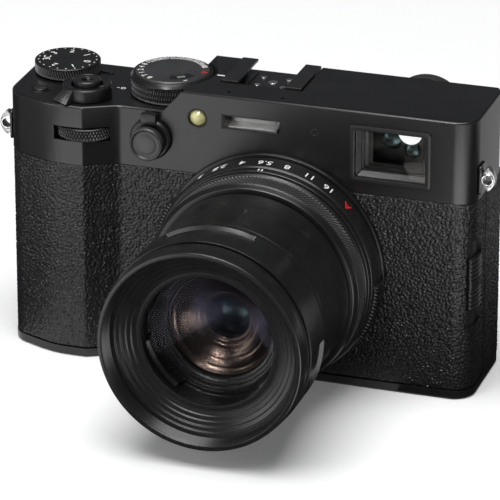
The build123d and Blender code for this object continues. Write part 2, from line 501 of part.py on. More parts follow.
def rear_controls():
    for name, (x, z) in REAR_BUTTONS.items():
        cap = rod_y(2.4, 15.2, REAR + 0.7, x, z)
        cap = fillet(cap.edges().sort_by(Axis.Y)[-1], 0.5)
        save(name, cap + rod_y(3.1, 13.4, 14.6, x, z) + rod_y(2.4, 14.5, 15.5, x, z))
    x, z = JOYSTICK
    gimbal = rod_y(3.0, 12.3, 13.7, x, z) + rod_x(0.4, x - 4.2, x + 4.2, 13.0, z)
    gimbal -= rod_y(2.2, 12, 14, x, z) + rod_z(0.4 + RUN, z - 5, z + 5, x, 13.0)
    save("joystick_gimbal", gimbal)
    stick = rod_y(0.9, 12.2, REAR + 0.6, x, z) + rod_z(0.4, z - 2.8, z + 2.8, x, 13.0)
    save("joystick", stick + rod_y(2.0, REAR + 0.5, REAR + 2.0, x, z))
    y0, y1, z0, z1 = SWITCH
    slider = wall(REAR, z0, z1, -0.5, 0.95) & corner_block(y0, y1, z0, z1)
    slider += rod_x(0.8, RIGHT - 3.6, RIGHT - 0.9, (y0 + y1) / 2, (z0 + z1) / 2)
    save("focus_switch", slider)


def strap_lug(side, sign):
    """Base plate and an eyelet tab with its hole along Y, standing out of one end."""
    def out(near, far, *rest):
        ends = sorted((side + sign * near, side + sign * far))
        return block(*ends, *rest)

    base = out(0.02, 0.6, LUG_Y - 2.6, LUG_Y + 2.6, LUG_Z - 4, LUG_Z + 4)
    tab = out(0.02, LUG_OUT, LUG_Y - 1.1, LUG_Y + 1.1, LUG_Z - 3.4, LUG_Z + 3.4)
    outer = sorted(tab.edges().filter_by(Axis.Y), key=lambda edge: sign * edge.center().X)[-2:]
    tab = fillet(outer, 2.0)
    eye_x = side + sign * LUG_REACH
    tab += rod_y(LUG_HOLE + 0.45, LUG_Y - 1.5, LUG_Y + 1.5, eye_x, LUG_Z)
    return base + tab - rod_y(LUG_HOLE, -30, 30, eye_x, LUG_Z)


def strap_lugs():
    save("strap_lugs", strap_lug(LEFT, -1) + strap_lug(RIGHT, 1))


top_cover()
bottom_cover()
chassis()
leatherette()
rear_cover()
lens()
converter()
top_controls()
hot_shoe()
command_dials()
front_controls()
finder()
inside()
battery_door()
connector_door()
screen()
rear_controls()
strap_lugs()

os.makedirs("parts", exist_ok=True)
for name, shape in parts.items():
    export_step(shape, f"parts/{name}.step")
print(len(parts), "sub-parts")
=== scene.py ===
import json
import math

import bmesh
import bpy
import numpy as np
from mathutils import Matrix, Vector


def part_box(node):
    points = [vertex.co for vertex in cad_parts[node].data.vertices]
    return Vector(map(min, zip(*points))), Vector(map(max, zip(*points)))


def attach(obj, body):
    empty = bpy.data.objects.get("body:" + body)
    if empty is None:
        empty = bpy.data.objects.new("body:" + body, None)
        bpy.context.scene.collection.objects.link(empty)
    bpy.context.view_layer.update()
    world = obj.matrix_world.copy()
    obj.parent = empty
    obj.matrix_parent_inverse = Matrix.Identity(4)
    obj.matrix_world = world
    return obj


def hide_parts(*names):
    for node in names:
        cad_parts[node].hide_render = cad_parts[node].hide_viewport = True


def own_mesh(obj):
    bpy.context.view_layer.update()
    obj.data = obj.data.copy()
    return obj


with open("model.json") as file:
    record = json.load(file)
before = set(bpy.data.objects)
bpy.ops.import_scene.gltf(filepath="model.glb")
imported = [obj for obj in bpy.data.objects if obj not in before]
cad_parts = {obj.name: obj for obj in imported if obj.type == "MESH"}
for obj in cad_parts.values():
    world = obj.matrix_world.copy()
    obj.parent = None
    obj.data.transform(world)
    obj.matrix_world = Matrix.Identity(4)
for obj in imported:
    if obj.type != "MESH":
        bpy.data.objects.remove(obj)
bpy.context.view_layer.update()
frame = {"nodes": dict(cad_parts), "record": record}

# Looks of a fixed-lens rangefinder camera with a front converter. Helpers take millimetres.
MM = 0.001
TURN = 2 * math.pi

NODE_BODY = {node: body for body, nodes in frame["record"]["behaviour"]["bodies"].items() for node in nodes}
NODE_SLOT = {part["node"]: part["material_slot"] for part in frame["record"]["subparts"]}


def extent(node):
    """x0, x1, y0, y1, z0, z1 of a CAD node, in millimetres."""
    low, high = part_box(node)
    return [edge / MM for pair in zip(low, high) for edge in pair]


def centre(node):
    """The middle of a CAD node, in millimetres."""
    x0, x1, y0, y1, z0, z1 = extent(node)
    return (x0 + x1) / 2, (y0 + y1) / 2, (z0 + z1) / 2


FRONT = extent("lens_base_ring")[3] + 0.02          # the body's front plane
AXIS_Z = centre("lens_base_ring")[2]                # height of the lens axis
LEFT, RIGHT = extent("bottom_cover")[:2]            # grip end and finder end
REAR = extent("bottom_cover")[3]
SEAM = extent("top_cover")[4]                       # where the top cover meets the leather
UPPER = 75.0                                        # deck on the finder side
LOWER = extent("exposure_dial")[5] - 3.5            # deck on the grip side
DIAL_FOOT = LOWER + 0.3                             # underside of the dials


# ---- materials ----------------------------------------------------------------------
def finish(name, colour, rough, metal=0.0, grain=0.3, tone=0.2, spread=0.08, bump=0.004, patch=6.0,
           stretch=(1, 1, 1), edge=0.0, **sockets):
    """A procedural surface: grain and patch are sizes in millimetres, bump a depth in millimetres,
    tone and spread say how far the colour and the roughness wander, edge how strongly a pale grey painted
    highlight is laid on a knurl's ridges."""
    material = bpy.data.materials.new(name)
    material.use_nodes = True
    nodes, links = material.node_tree.nodes, material.node_tree.links
    shader = nodes["Principled BSDF"]
    shader.inputs["Metallic"].default_value = metal
    for socket, value in sockets.items():
        shader.inputs[socket.replace("_", " ")].default_value = value
    place = nodes.new("ShaderNodeTexCoord")
    mapping = nodes.new("ShaderNodeMapping")
    mapping.inputs["Scale"].default_value = stretch
    links.new(place.outputs["Object"], mapping.inputs["Vector"])
    fine, coarse = (nodes.new("ShaderNodeTexNoise") for _ in range(2))
    for texture, size, detail in ((fine, grain, 4.0), (coarse, patch, 3.0)):
        texture.inputs["Scale"].default_value = 1.0 / (size * MM)
        texture.inputs["Detail"].default_value = detail
        links.new(mapping.outputs["Vector"], texture.inputs["Vector"])
    roughness = nodes.new("ShaderNodeMapRange")
    roughness.inputs["To Min"].default_value = max(rough - spread, 0.02)
    roughness.inputs["To Max"].default_value = rough + spread
    links.new(fine.outputs["Fac"], roughness.inputs["Value"])
    links.new(roughness.outputs["Result"], shader.inputs["Roughness"])
    ramp = nodes.new("ShaderNodeValToRGB")
    ramp.color_ramp.elements[0].position = 0.3
    ramp.color_ramp.elements[1].position = 0.7
    ramp.color_ramp.elements[0].color = [c * (1 - tone) for c in colour] + [1]
    ramp.color_ramp.elements[1].color = [min(c * (1 + tone), 1) for c in colour] + [1]
    links.new(coarse.outputs["Fac"], ramp.inputs["Fac"])
    tint = ramp.outputs["Color"]
    # Painted highlight: the crests of a knurl's ridges are mixed towards pale grey by the ridge attribute.
    if edge:
        ridge = nodes.new("ShaderNodeAttribute")
        ridge.attribute_name = "ridge"
        share = nodes.new("ShaderNodeMath")
        share.operation = "MULTIPLY"
        links.new(ridge.outputs["Fac"], share.inputs[0])
        share.inputs[1].default_value = edge
        painted_crest_highlight = nodes.new("ShaderNodeMix")
        painted_crest_highlight.data_type = "RGBA"
        links.new(share.outputs["Value"], painted_crest_highlight.inputs["Factor"])
        links.new(tint, painted_crest_highlight.inputs["A"])
        painted_crest_highlight.inputs["B"].default_value = [0.4, 0.4, 0.4, 1]
        tint = painted_crest_highlight.outputs["Result"]
    links.new(tint, shader.inputs["Base Color"])
    if bump:
        relief = nodes.new("ShaderNodeBump")
        relief.inputs["Distance"].default_value = bump * MM
        links.new(fine.outputs["Fac"], relief.inputs["Height"])
        links.new(relief.outputs["Normal"], shader.inputs["Normal"])
    return material


def coated(name, tint, share, rough=0.05, ior=1.9):
    """Coated optical glass: it shows tinted reflections, and what lies behind it through the rest."""
    return finish(name, (0.003, 0.003, 0.0035), rough, grain=3.0, tone=0.1, spread=0.01, bump=0.0,
                  Alpha=share, IOR=ior, Specular_Tint=(*tint, 1.0))


PAINT = finish("satin_black_paint", (0.007, 0.007, 0.0073), 0.29, grain=0.1, bump=0.0018, spread=0.05)
CAST = finish("dark_casting", (0.012, 0.012, 0.0125), 0.5, grain=0.5, bump=0.02)
LEATHER = finish("pebbled_leatherette", (0.008, 0.008, 0.0083), 0.36, grain=0.2, bump=0.012, spread=0.1,
                 patch=1.0, tone=0.4)
SHELL = finish("rear_shell", (0.009, 0.009, 0.0093), 0.42, grain=0.2, bump=0.006)
ANODISED = finish("black_anodised", (0.018, 0.018, 0.0185), 0.3, metal=0.3, grain=0.15, bump=0.002,
                  spread=0.05)
BRUSHED = finish("turned_black", (0.042, 0.042, 0.043), 0.34, metal=0.25)
# edge=0.6 paints a pale highlight on the crests of every knurl in this finish.
KNURLED = finish("knurled_black", (0.016, 0.016, 0.0165), 0.3, metal=0.4, grain=0.15, bump=0.002, edge=0.6)
BARREL = finish("lens_barrel_black", (0.014, 0.014, 0.0145), 0.27, metal=0.3, grain=0.15, bump=0.002,
                spread=0.04)
BAFFLE = finish("light_trap_black", (0.004, 0.004, 0.0042), 0.42, grain=0.3, bump=0.008)
PLASTIC = finish("moulded_plastic", (0.009, 0.009, 0.0093), 0.38, grain=0.2, bump=0.006)
RUBBER = finish("matt_rubber", (0.012, 0.012, 0.012), 0.65, grain=0.25, bump=0.015)
STEEL = finish("satin_steel", (0.48, 0.48, 0.475), 0.36, metal=1.0, stretch=(1, 1, 8))
SILVER = finish("polished_silver", (0.8, 0.8, 0.79), 0.22, metal=1.0, grain=0.5, bump=0.006)
SPRING = finish("spring_steel", (0.5, 0.5, 0.5), 0.3, metal=1.0)
BOARD = finish("circuit_board", (0.02, 0.14, 0.06), 0.45)
CELL = finish("battery_wrap", (0.03, 0.03, 0.034), 0.3)
LAMP = finish("lamp_yellow", (0.6, 0.56, 0.24), 0.16, grain=0.4, bump=0.02, spread=0.05, IOR=2.0)
BOWL = finish("reflector_silver", (0.86, 0.86, 0.85), 0.4, metal=0.9, grain=0.5, bump=0.01)
FROST = finish("frosted_window", (0.8, 0.8, 0.79), 0.25, grain=0.5, bump=0.02, Alpha=0.5)
WHITE = finish("white_marking", (0.86, 0.86, 0.84), 0.5, grain=0.1, bump=0.002, tone=0.05)
RED = finish("red_marking", (0.72, 0.008, 0.012), 0.5, grain=0.1, bump=0.002, tone=0.08)
GREY = finish("grey_marking", (0.4, 0.4, 0.4), 0.5, grain=0.1, bump=0.002, tone=0.08)
SCREEN = finish("screen_glass", (0.004, 0.004, 0.0045), 0.07, grain=2.0, spread=0.02, bump=0.0,
                Coat_Weight=0.5)
FRONT_GLASS = coated("front_glass", (0.72, 0.74, 1.0), 0.05)
CLEAR = coated("clear_glass", (0.9, 0.95, 1.0), 0.3)
PANE = coated("window_pane", (1.0, 0.92, 0.86), 0.12, 0.03)
LAVENDER = coated("lavender_coating", (0.62, 0.62, 1.0), 0.16, 0.27)
PEACH = finish("peach_coating", (0.006, 0.005, 0.0045), 0.24, grain=2.0, spread=0.03, bump=0.0, IOR=2.1,
               Specular_Tint=(1.0, 0.74, 0.62, 1))
TEAL = finish("teal_coating", (0.002, 0.003, 0.0033), 0.22, grain=2.0, spread=0.04, bump=0.0, IOR=1.8,
              Specular_Tint=(0.55, 0.9, 0.95, 1))
REVEAL = finish("finder_reveal", (0.012, 0.0105, 0.0095), 0.34, grain=0.4, bump=0.002)
# Painted light: a glowing white finish for the daylight seen through the finder.
DAYLIGHT = finish("finder_daylight", (0.95, 0.95, 0.95), 0.4, grain=0.5, bump=0.0, tone=0.03,
                  Emission_Color=(1, 1, 1, 1), Emission_Strength=0.9)

SLOT_LOOK = {
    "black_cover": PAINT, "casting": CAST, "leatherette": LEATHER, "rear_shell": SHELL,
    "black_anodised": ANODISED, "knob": KNURLED, "barrel": BARREL, "clear_glass": CLEAR,
    "screen_glass": SCREEN, "black_plastic": PLASTIC, "rubber": RUBBER, "steel": STEEL, "silver": SILVER,
    "spring_steel": SPRING, "board": BOARD, "cell": CELL, "lamp": LAMP, "frosted": FROST}


# ---- mesh helpers -------------------------------------------------------------------
def piece(name, vertices, faces, material, body, crease=32.0, node=None, ridge=None, bevel=0.0):
    """A smooth-shaded mesh with sharp edges past the crease angle, riding on a body. ridge holds a value for
    each vertex, from 0 to 1 on the crest of a knurl's ridges. bevel is how far sharp edges are rounded."""
    mesh = bpy.data.meshes.new(name)
    mesh.from_pydata((np.asarray(vertices, float) * MM).tolist(), [], [list(face) for face in faces])
    if ridge is not None:
        mesh.attributes.new("ridge", "FLOAT", "POINT").data.foreach_set("value",
                                                                        np.asarray(ridge, np.float32))
    work = bmesh.new()
    work.from_mesh(mesh)
    bmesh.ops.remove_doubles(work, verts=work.verts, dist=1e-7)
    bmesh.ops.recalc_face_normals(work, faces=work.faces)
    if bevel:
        sharp = [edge for edge in work.edges
                 if len(edge.link_faces) == 2 and edge.calc_face_angle() > math.radians(30.0)]
        bmesh.ops.bevel(work, geom=sharp, offset=bevel * MM, segments=2, affect="EDGES", profile=0.5,
                        clamp_overlap=True)
    work.to_mesh(mesh)
    work.free()
    return adopt(name, mesh, material, body, crease, node)


def placed(name, data):
    """A new object in the scene."""
    thing = bpy.data.objects.new(name, data)
    bpy.context.scene.collection.objects.link(thing)
    return thing


def adopt(name, mesh, material, body, crease=32.0, node=None):
    """Makes an object of a finished mesh, rides it on its body and hides the CAD nodes it stands for."""
    mesh.shade_smooth()
    mesh.set_sharp_from_angle(angle=math.radians(crease))
    mesh.materials.clear()
    mesh.materials.append(material)
    thing = placed(name, mesh)
    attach(thing, body)
    if node:
        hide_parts(*([node] if isinstance(node, str) else node))
    return thing


def eased(points, size=0.2, steps=3):
    """A closed outline with each corner turned into a small arc, except on the axis."""
    points = [np.array(p, float) for p in points]
    result = []
    for i, corner in enumerate(points):
        before, after = points[i - 1], points[(i + 1) % len(points)]
        if abs(corner[0]) < 1e-9:
            result.append(corner)
            continue
        a, b = before - corner, after - corner
        reach = min(size, 0.45 * np.linalg.norm(a), 0.45 * np.linalg.norm(b))
        start, end = corner + a / np.linalg.norm(a) * reach, corner + b / np.linalg.norm(b) * reach
        for k in range(steps + 1):
            t = k / steps
            result.append((1 - t) ** 2 * start + 2 * t * (1 - t) * corner + t ** 2 * end)
    return result


def dense(points, low, high, step):
    """The outline with extra points wherever it runs between two heights."""
    result = []
    for i, start in enumerate(points):
        end = points[(i + 1) % len(points)]
        result.append(start)
        inside = min(start[1], end[1]) >= low - 1e-6 and max(start[1], end[1]) <= high + 1e-6
        count = int(np.linalg.norm(end - start) / step) if inside else 0
        for k in range(1, count):
            result.append(start + (end - start) * k / count)
    return result


def about_lens(radius, angle, ahead):
    """Angles run anticlockwise from +X as seen from the front; ahead is measured from the front plane."""
    return np.stack([radius * np.cos(angle), FRONT - ahead + 0 * radius, AXIS_Z + radius * np.sin(angle)], -1)


def about_z(x, y):
    """A placer of (radius, angle, height) round an upright axis."""
    return lambda radius, angle, height: np.stack(
        [x + radius * np.cos(angle), y + radius * np.sin(angle), height + 0 * radius], -1)


def about_y(x, z):
    """The same round an axis from front to back; height is then y."""
    return lambda radius, angle, height: np.stack(
        [x + radius * np.cos(angle), height + 0 * radius, z + radius * np.sin(angle)], -1)


def about_x(y, z):
    """The same round an axis from end to end; height is then x."""
    return lambda radius, angle, height: np.stack(
        [height + 0 * radius, y + radius * np.cos(angle), z + radius * np.sin(angle)], -1)


def band(first, second, count):
    """The faces between two rings of count points each, given by the rings' numbers."""
    start, end = first * count, second * count
    return [(start + j, start + (j + 1) % count, end + (j + 1) % count, end + j) for j in range(count)]


def lids(count):
    """The faces that close a prism of two rings, and those between them."""
    return [range(count)[::-1], range(count, 2 * count)] + band(0, 1, count)


def lathe(name, points, place, material, body, turns=180, relief=None, crease=32.0, node=None):
    """Revolves a closed outline of (radius, height); relief(angle, height) is added to the radius."""
    rows = np.array(points, float)
    angle = np.arange(turns) * TURN / turns
    radius, height = rows[:, :1] + 0 * angle, rows[:, 1:2] + 0 * angle
    if relief:
        radius = radius + relief(angle[None, :], height) * (radius > 1e-6)
    vertices = place(radius, angle[None, :], height).reshape(-1, 3)
    faces = []
    for i in range(len(rows)):
        k = (i + 1) % len(rows)
        if rows[i, 0] > 1e-9 or rows[k, 0] > 1e-9:
            faces += band(i, k, turns)
    crest = relief.crest(angle[None, :], height).ravel() if hasattr(relief, "crest") else None
    return piece(name, vertices, faces, material, body, crease, node, crest)


def knurl(count, depth, low, high, slope=0.0, crossed=False, fade=0.25):
    """Grooves round a rim between two heights: straight, slanted by slope per millimetre, or crossed."""
    def wave(angle, height):
        """What fades the grooves out at both rims, and a wave from 0 on a ridge to 1 in a groove."""
        window = np.clip(np.minimum(height - low, high - height) / fade, 0, 1)
        groove = np.abs(((angle * count / TURN + slope * height) % 1.0) * 2 - 1)
        if crossed:
            other = np.abs(((angle * count / TURN - slope * height) % 1.0) * 2 - 1)
            groove = np.maximum(groove, other)
        return window, groove

    def relief(angle, height):
        window, groove = wave(angle, height)
        return -depth * window * groove

    def crest(angle, height):
        window, groove = wave(angle, height)
        return window * (1 - groove) ** 2

    relief.crest = crest
    return relief


def slab(name, outline, low, high, place, material, body, bevel=0.15, node=None, crease=32.0):
    """An outline of (u, v) extruded from low to high with softened rims; place(u, v, w) gives x, y, z."""
    vertices = [place(u, v, w) for w in (low, high) for u, v in outline]
    return piece(name, vertices, lids(len(outline)), material, body, crease, node, bevel=bevel)


def box_outline(x0, x1, y0, y1, radius=0.0, steps=5):
    """A rectangle with rounded corners."""
    if not radius:
        return [(x0, y0), (x1, y0), (x1, y1), (x0, y1)]
    points = []
    for cx, cy, start in ((x1 - radius, y1 - radius, 0), (x0 + radius, y1 - radius, 90),
                          (x0 + radius, y0 + radius, 180), (x1 - radius, y0 + radius, 270)):
        for k in range(steps + 1):
            a = math.radians(start + 90 * k / steps)
            points.append((cx + radius * math.cos(a), cy + radius * math.sin(a)))
    return points


def disc_outline(x, y, radius, steps=40):
    return [(x + radius * math.cos(TURN * k / steps), y + radius * math.sin(TURN * k / steps))
            for k in range(steps)]


def from_z(u, v, w):
    return u, v, w


def from_y(u, v, w):
    return u, w, v


def from_x(u, v, w):
    return w, u, v


def softened(node, size):
    """A copy of a CAD node with its edges rounded by this size."""
    work = bmesh.new()
    work.from_mesh(frame["nodes"][node].data)
    bmesh.ops.remove_doubles(work, verts=work.verts, dist=2e-6)
    bmesh.ops.dissolve_limit(work, angle_limit=math.radians(0.6), verts=work.verts, edges=work.edges)
    mesh = bpy.data.meshes.new(node + "_shell")
    work.to_mesh(mesh)
    work.free()
    copy = adopt(node + "_shell", mesh, SLOT_LOOK[NODE_SLOT[node]], NODE_BODY[node], node=node)
    bevel = copy.modifiers.new("edges", "BEVEL")
    bevel.width = size * MM
    bevel.segments = 2
    bevel.limit_method = "ANGLE"
    bevel.angle_limit = math.radians(35.0)
    bevel.use_clamp_overlap = True
    bevel.harden_normals = True


def glyphs(text, height, squeeze=1.0):
    """Vertices and faces of a piece of lettering centred on the origin, with a little thickness along z."""
    curve = bpy.data.curves.new("lettering", "FONT")
    curve.body = text
    curve.align_x = "CENTER"
    curve.align_y = "CENTER"
    curve.size = height / 0.7
    curve.resolution_u = 3
    curve.extrude = 0.02
    holder = bpy.data.objects.new("lettering", curve)
    mesh = holder.to_mesh()
    vertices = np.array([v.co for v in mesh.vertices], float).reshape(-1, 3)
    faces = [tuple(p.vertices) for p in mesh.polygons]
    holder.to_mesh_clear()
    bpy.data.objects.remove(holder)
    bpy.data.curves.remove(curve)
    vertices[:, 0] *= squeeze
    vertices[:, 1] -= (vertices[:, 1].max() + vertices[:, 1].min()) / 2
    return vertices, faces


def marks(name, entries, material, body):
    """One piece from several lots of (vertices, faces)."""
    vertices, faces = [], []
    for points, polygons in entries:
        start = sum(len(v) for v in vertices)
        vertices.append(points)
        faces += [tuple(i + start for i in polygon) for polygon in polygons]
    return piece(name, np.concatenate(vertices), faces, material, body)


def painted(outline):
    """A thin painted shape, in the same form as glyphs."""
    points = [(x, y, z) for z in (-0.02, 0.02) for x, y in outline]
    return np.array(points), lids(len(outline))


def bar(width, height):
    return painted(box_outline(-width / 2, width / 2, -height / 2, height / 2))


def dot(radius):
    return painted(disc_outline(0, 0, radius, 14))


def on_dial(mark, x, y, z, radius, bearing):
    """Lays a mark on a dial's top: bearing is its angle from +X, its top points outwards."""
    points, faces = mark
    a = math.radians(bearing)
    out, along = np.array([math.cos(a), math.sin(a)]), np.array([math.sin(a), -math.cos(a)])
    flat = np.array([x, y]) + np.outer(radius + points[:, 1], out) + np.outer(points[:, 0], along)
    return np.column_stack([flat, z + points[:, 2]]), faces


def on_barrel(mark, radius, bearing, ahead):
    """Wraps a mark round the lens: it reads anticlockwise from the front, its top points ahead."""
    points, faces = mark
    angle = math.radians(bearing) + points[:, 0] / radius
    return about_lens(radius + points[:, 2], angle, ahead + points[:, 1]), faces


# ---- leatherette --------------------------------------------------------------------
GRIP_START, GRIP_X, GRIP_BULGE, GRIP_END = -58.0, -49.2, 4.3, -41.0
GRIP_RADII = [7, 22, 1.6, 5, 5.6]
SKIN_TOP, SKIN_FOOT = SEAM - 0.12, 2.52
SKIN_SPLIT = FRONT + 12.5
END_SKIN = 0.2                                      # how far the strips on the ends stand out


def filleted(corners, radii, step):
    """Points about step apart along straight runs joined by arcs."""
    corners = [np.array(c, float) for c in corners]
    points = [corners[0]]
    for before, corner, after, radius in zip(corners, corners[1:], corners[2:], radii):
        a, b = (before - corner), (after - corner)
        a, b = a / np.linalg.norm(a), b / np.linalg.norm(b)
        half = math.acos(np.clip(a @ b, -1, 1)) / 2
        reach = radius / math.tan(half)
        middle = corner + (a + b) / np.linalg.norm(a + b) * radius / math.sin(half)
        start, end = corner + a * reach - middle, corner + b * reach - middle
        turn = math.pi - 2 * half
        count = max(int(radius * turn / step), 3)
        straight = np.linalg.norm(middle + start - points[-1])
        runs = max(int(straight / step), 1)
        origin = points[-1]
        points += [origin + (middle + start - origin) * k / runs for k in range(1, runs + 1)]
        for k in range(1, count + 1):
            t = k / count
            spin = (math.sin((1 - t) * turn) * start + math.sin(t * turn) * end) / math.sin(turn)
            points.append(middle + spin)
    origin, last = points[-1], corners[-1]
    runs = max(int(np.linalg.norm(last - origin) / step), 1)
    points += [origin + (last - origin) * k / runs for k in range(1, runs + 1)]
    return np.array(points)


def pebbles(u, v, size, seed):
    """Height from 0 to 1 of rounded pebbles of about that size, with creases between them."""
    rng = np.random.default_rng(seed)
    table = rng.random((256, 256, 2))
    x, y = u / size, v / size
    cell_x, cell_y = np.floor(x).astype(int), np.floor(y).astype(int)
    first, second = np.full(x.shape, 9.0), np.full(x.shape, 9.0)
    for dx in (-1, 0, 1):
        for dy in (-1, 0, 1):
            jitter = table[(cell_x + dx) % 256, (cell_y + dy) % 256]
            gap = np.hypot(cell_x + dx + jitter[..., 0] - x, cell_y + dy + jitter[..., 1] - y)
            second = np.where(gap < first, first, np.minimum(second, gap))
            first = np.minimum(first, gap)
    crease = np.clip((second - first) / 0.45, 0, 1)
    return crease * (2 - crease) * (1 - 0.35 * first)


def outward_from(path):
    """The unit normals on the right-hand side of a path in plan."""
    tangent = np.gradient(path, axis=0)
    tangent /= np.linalg.norm(tangent, axis=1)[:, None]
    return np.stack([tangent[:, 1], -tangent[:, 0]], -1)


def everywhere(x, y, z):
    return True


def sheet(name, path, outward, heights, lift, depth, keep, material, body, crease, node):
    """A closed sheet standing on a path in plan: its face is out by lift at each point, its back is in by
    depth, and keep(x, y, z) says which of its cells stay."""
    face, back = (np.stack([path[:, :1] + outward[:, :1] * reach, path[:, 1:] + outward[:, 1:] * reach,
                            np.broadcast_to(heights, lift.shape)], -1).reshape(-1, 3)
                  for reach in (lift, np.full(lift.shape, -depth)))
    columns, rows = lift.shape
    middle = (path[:-1] + path[1:]) / 2
    cells = [(i * rows + j, (i + 1) * rows + j, (i + 1) * rows + j + 1, i * rows + j + 1)
             for i in range(columns - 1) for j in range(rows - 1)
             if keep(middle[i, 0], middle[i, 1], (heights[j] + heights[j + 1]) / 2)]
    used = sorted({index for cell in cells for index in cell})
    renumber = {index: k for k, index in enumerate(used)}
    front = [tuple(renumber[k] for k in cell) for cell in cells]
    edges = {(a, b) for cell in front for a, b in zip(cell, cell[1:] + cell[:1])}
    sides = [(b, a, a + len(used), b + len(used)) for a, b in edges if (b, a) not in edges]
    behind = [tuple(k + len(used) for k in cell[::-1]) for cell in front]
    return piece(name, np.concatenate([face[used], back[used]]), front + sorted(sides) + behind, material,
                 body, crease, node)


def skin_sheet(name, corners, radii, keep, node, seed, outside=0.0):
    """Leatherette along a plan outline, the highest of its grain outside it by that much."""
    step, grain_depth, pull, thick = 0.22, 0.42, 0.3, 0.76
    path = filleted(corners, radii, step)
    along = np.concatenate([[0], np.cumsum(np.linalg.norm(np.diff(path, axis=0), axis=1))])
    heights = np.linspace(SKIN_FOOT, SKIN_TOP, int((SKIN_TOP - SKIN_FOOT) / step))
    u, v = np.meshgrid(along, heights, indexing="ij")
    bend_u, bend_v = u + 0.3 * np.sin(v * 1.7 + 0.8 * np.sin(u * 1.1)), v + 0.3 * np.sin(u * 1.9)
    grain = 0.7 * pebbles(bend_u, 1.1 * bend_v, 0.92, seed)
    grain += 0.3 * pebbles(bend_u + 40, bend_v + 17, 0.6, seed + 2)
    border = np.minimum(np.minimum(v - SKIN_FOOT, SKIN_TOP - v), np.minimum(u, along[-1] - u))
    lift = outside + grain_depth * (grain - 1) - pull * (1 - np.clip(border / 0.4, 0, 1)) ** 2
    sheet(name, path, outward_from(path), heights, lift, thick - outside, keep, LEATHER, "camera", 60.0, node)


def leatherette():
    """The textured covering: two sheets round the front, and one strip on each end behind their seam."""
    swell = FRONT - GRIP_BULGE
    corners = [(LEFT, SKIN_SPLIT), (LEFT, FRONT + 1.5), (GRIP_START, swell), (GRIP_X, swell),
               (GRIP_END, FRONT), (RIGHT, FRONT), (RIGHT, SKIN_SPLIT)]
    pocket = extent("focus_switch")

    def clear(x, y, z):
        round_lens = abs(x) < 26 and math.hypot(x, z - AXIS_Z) < 25.5
        at_switch = x > RIGHT - 5.6 and pocket[2] - 0.4 < y < pocket[3] + 0.4 and 19.5 < z < 42.5
        return not round_lens and not at_switch

    skin_sheet("grip_leather_skin", corners, GRIP_RADII, lambda x, y, z: x < 0 and clear(x, y, z),
               "grip_leather", 3)
    skin_sheet("finder_side_skin", corners, GRIP_RADII, lambda x, y, z: x > 0 and clear(x, y, z),
               "finder_side_leather", 3)
    door = extent("connector_door")

    def off_door(x, y, z):
        return not (door[2] - 0.3 < y < door[3] + 0.3 and door[4] - 0.4 < z < door[5] + 0.4)

    behind = SKIN_SPLIT + 0.22
    finder_end = [(RIGHT, behind), (RIGHT, REAR), (RIGHT - 7, REAR)]
    grip_end = [(LEFT + 7, REAR), (LEFT, REAR), (LEFT, behind)]
    skin_sheet("finder_end_skin", finder_end, [6], everywhere, None, 7, END_SKIN)
    skin_sheet("grip_end_skin", grip_end, [6], off_door, None, 9, END_SKIN)


# ---- lens ---------------------------------------------------------------------------
STOPS = (("2", 127.5), ("2.8", 115.6), ("4", 103.0), ("5.6", 91.0), ("8", 79.4), ("11", 67.3), ("16", 56.0))


def lens_parts():
    """The base ring, the aperture ring with its figures, and the focus ring."""
    aperture_r, tab_r = 28.9, 30.0
    lathe("base_ring", eased([(24.1, 0.02), (29.6, 0.02), (29.8, 0.2), (29.5, 1.05), (24.1, 1.05)], 0.15),
          about_lens, BARREL, NODE_BODY["lens_base_ring"], node="lens_base_ring")

    def tab_relief(angle, ahead):
        """Two ribbed finger grips on the aperture ring."""
        offset = np.degrees((angle + TURN) % TURN)
        lift = np.zeros(np.broadcast(angle, ahead).shape)
        for middle in (344.0, 164.0):
            gap = np.abs(offset - middle)
            along = np.clip((17.0 - gap) / 1.2, 0, 1)
            across = np.clip(np.minimum(ahead - 2.4, 7.0 - ahead) / 0.3, 0, 1)
            ribs = 0.72 + 0.28 * np.cos(np.radians(offset - middle) * 360 / 1.9)
            lift = np.maximum(lift, along * across * ribs)
        return (tab_r - aperture_r) * lift

    ring = eased([(24.05, 1.25), (28.6, 1.25), (28.9, 1.6), (28.9, 7.3), (28.5, 7.8), (24.05, 7.8)], 0.12)
    lathe("aperture_ring_body", dense(ring, 1.6, 7.3, 0.2), about_lens, BARREL, NODE_BODY["aperture_ring"],
          1440, tab_relief, node="aperture_ring")
    body = NODE_BODY["aperture_ring"]
    numbers = [on_barrel(glyphs(text, 2.3), aperture_r + 0.02, bearing, 4.9) for text, bearing in STOPS]
    marks("aperture_numbers", numbers, WHITE, body)
    marks("aperture_auto_mark", [on_barrel(glyphs("A", 2.5), aperture_r + 0.02, 43.5, 4.9)], RED, body)
    index = [on_barrel(bar(0.35, 1.1), 28.42, 91 + shift, 8.7) for shift in (-0.9, 0.9)]
    marks("aperture_index", index, WHITE, "camera")

    focus = eased([(24.05, 9.8), (28.0, 9.8), (28.0, 10.6), (27.6, 10.8), (27.6, 15.9), (27.3, 16.1),
                   (26.8, 17.4), (26.5, 17.6), (24.05, 17.6)], 0.12)
    lathe("focus_ring_body", dense(focus, 10.7, 16.0, 0.16), about_lens, KNURLED, NODE_BODY["focus_ring"],
          1440, knurl(180, 0.34, 10.9, 15.8, 0.8, True, 0.15), node="focus_ring")


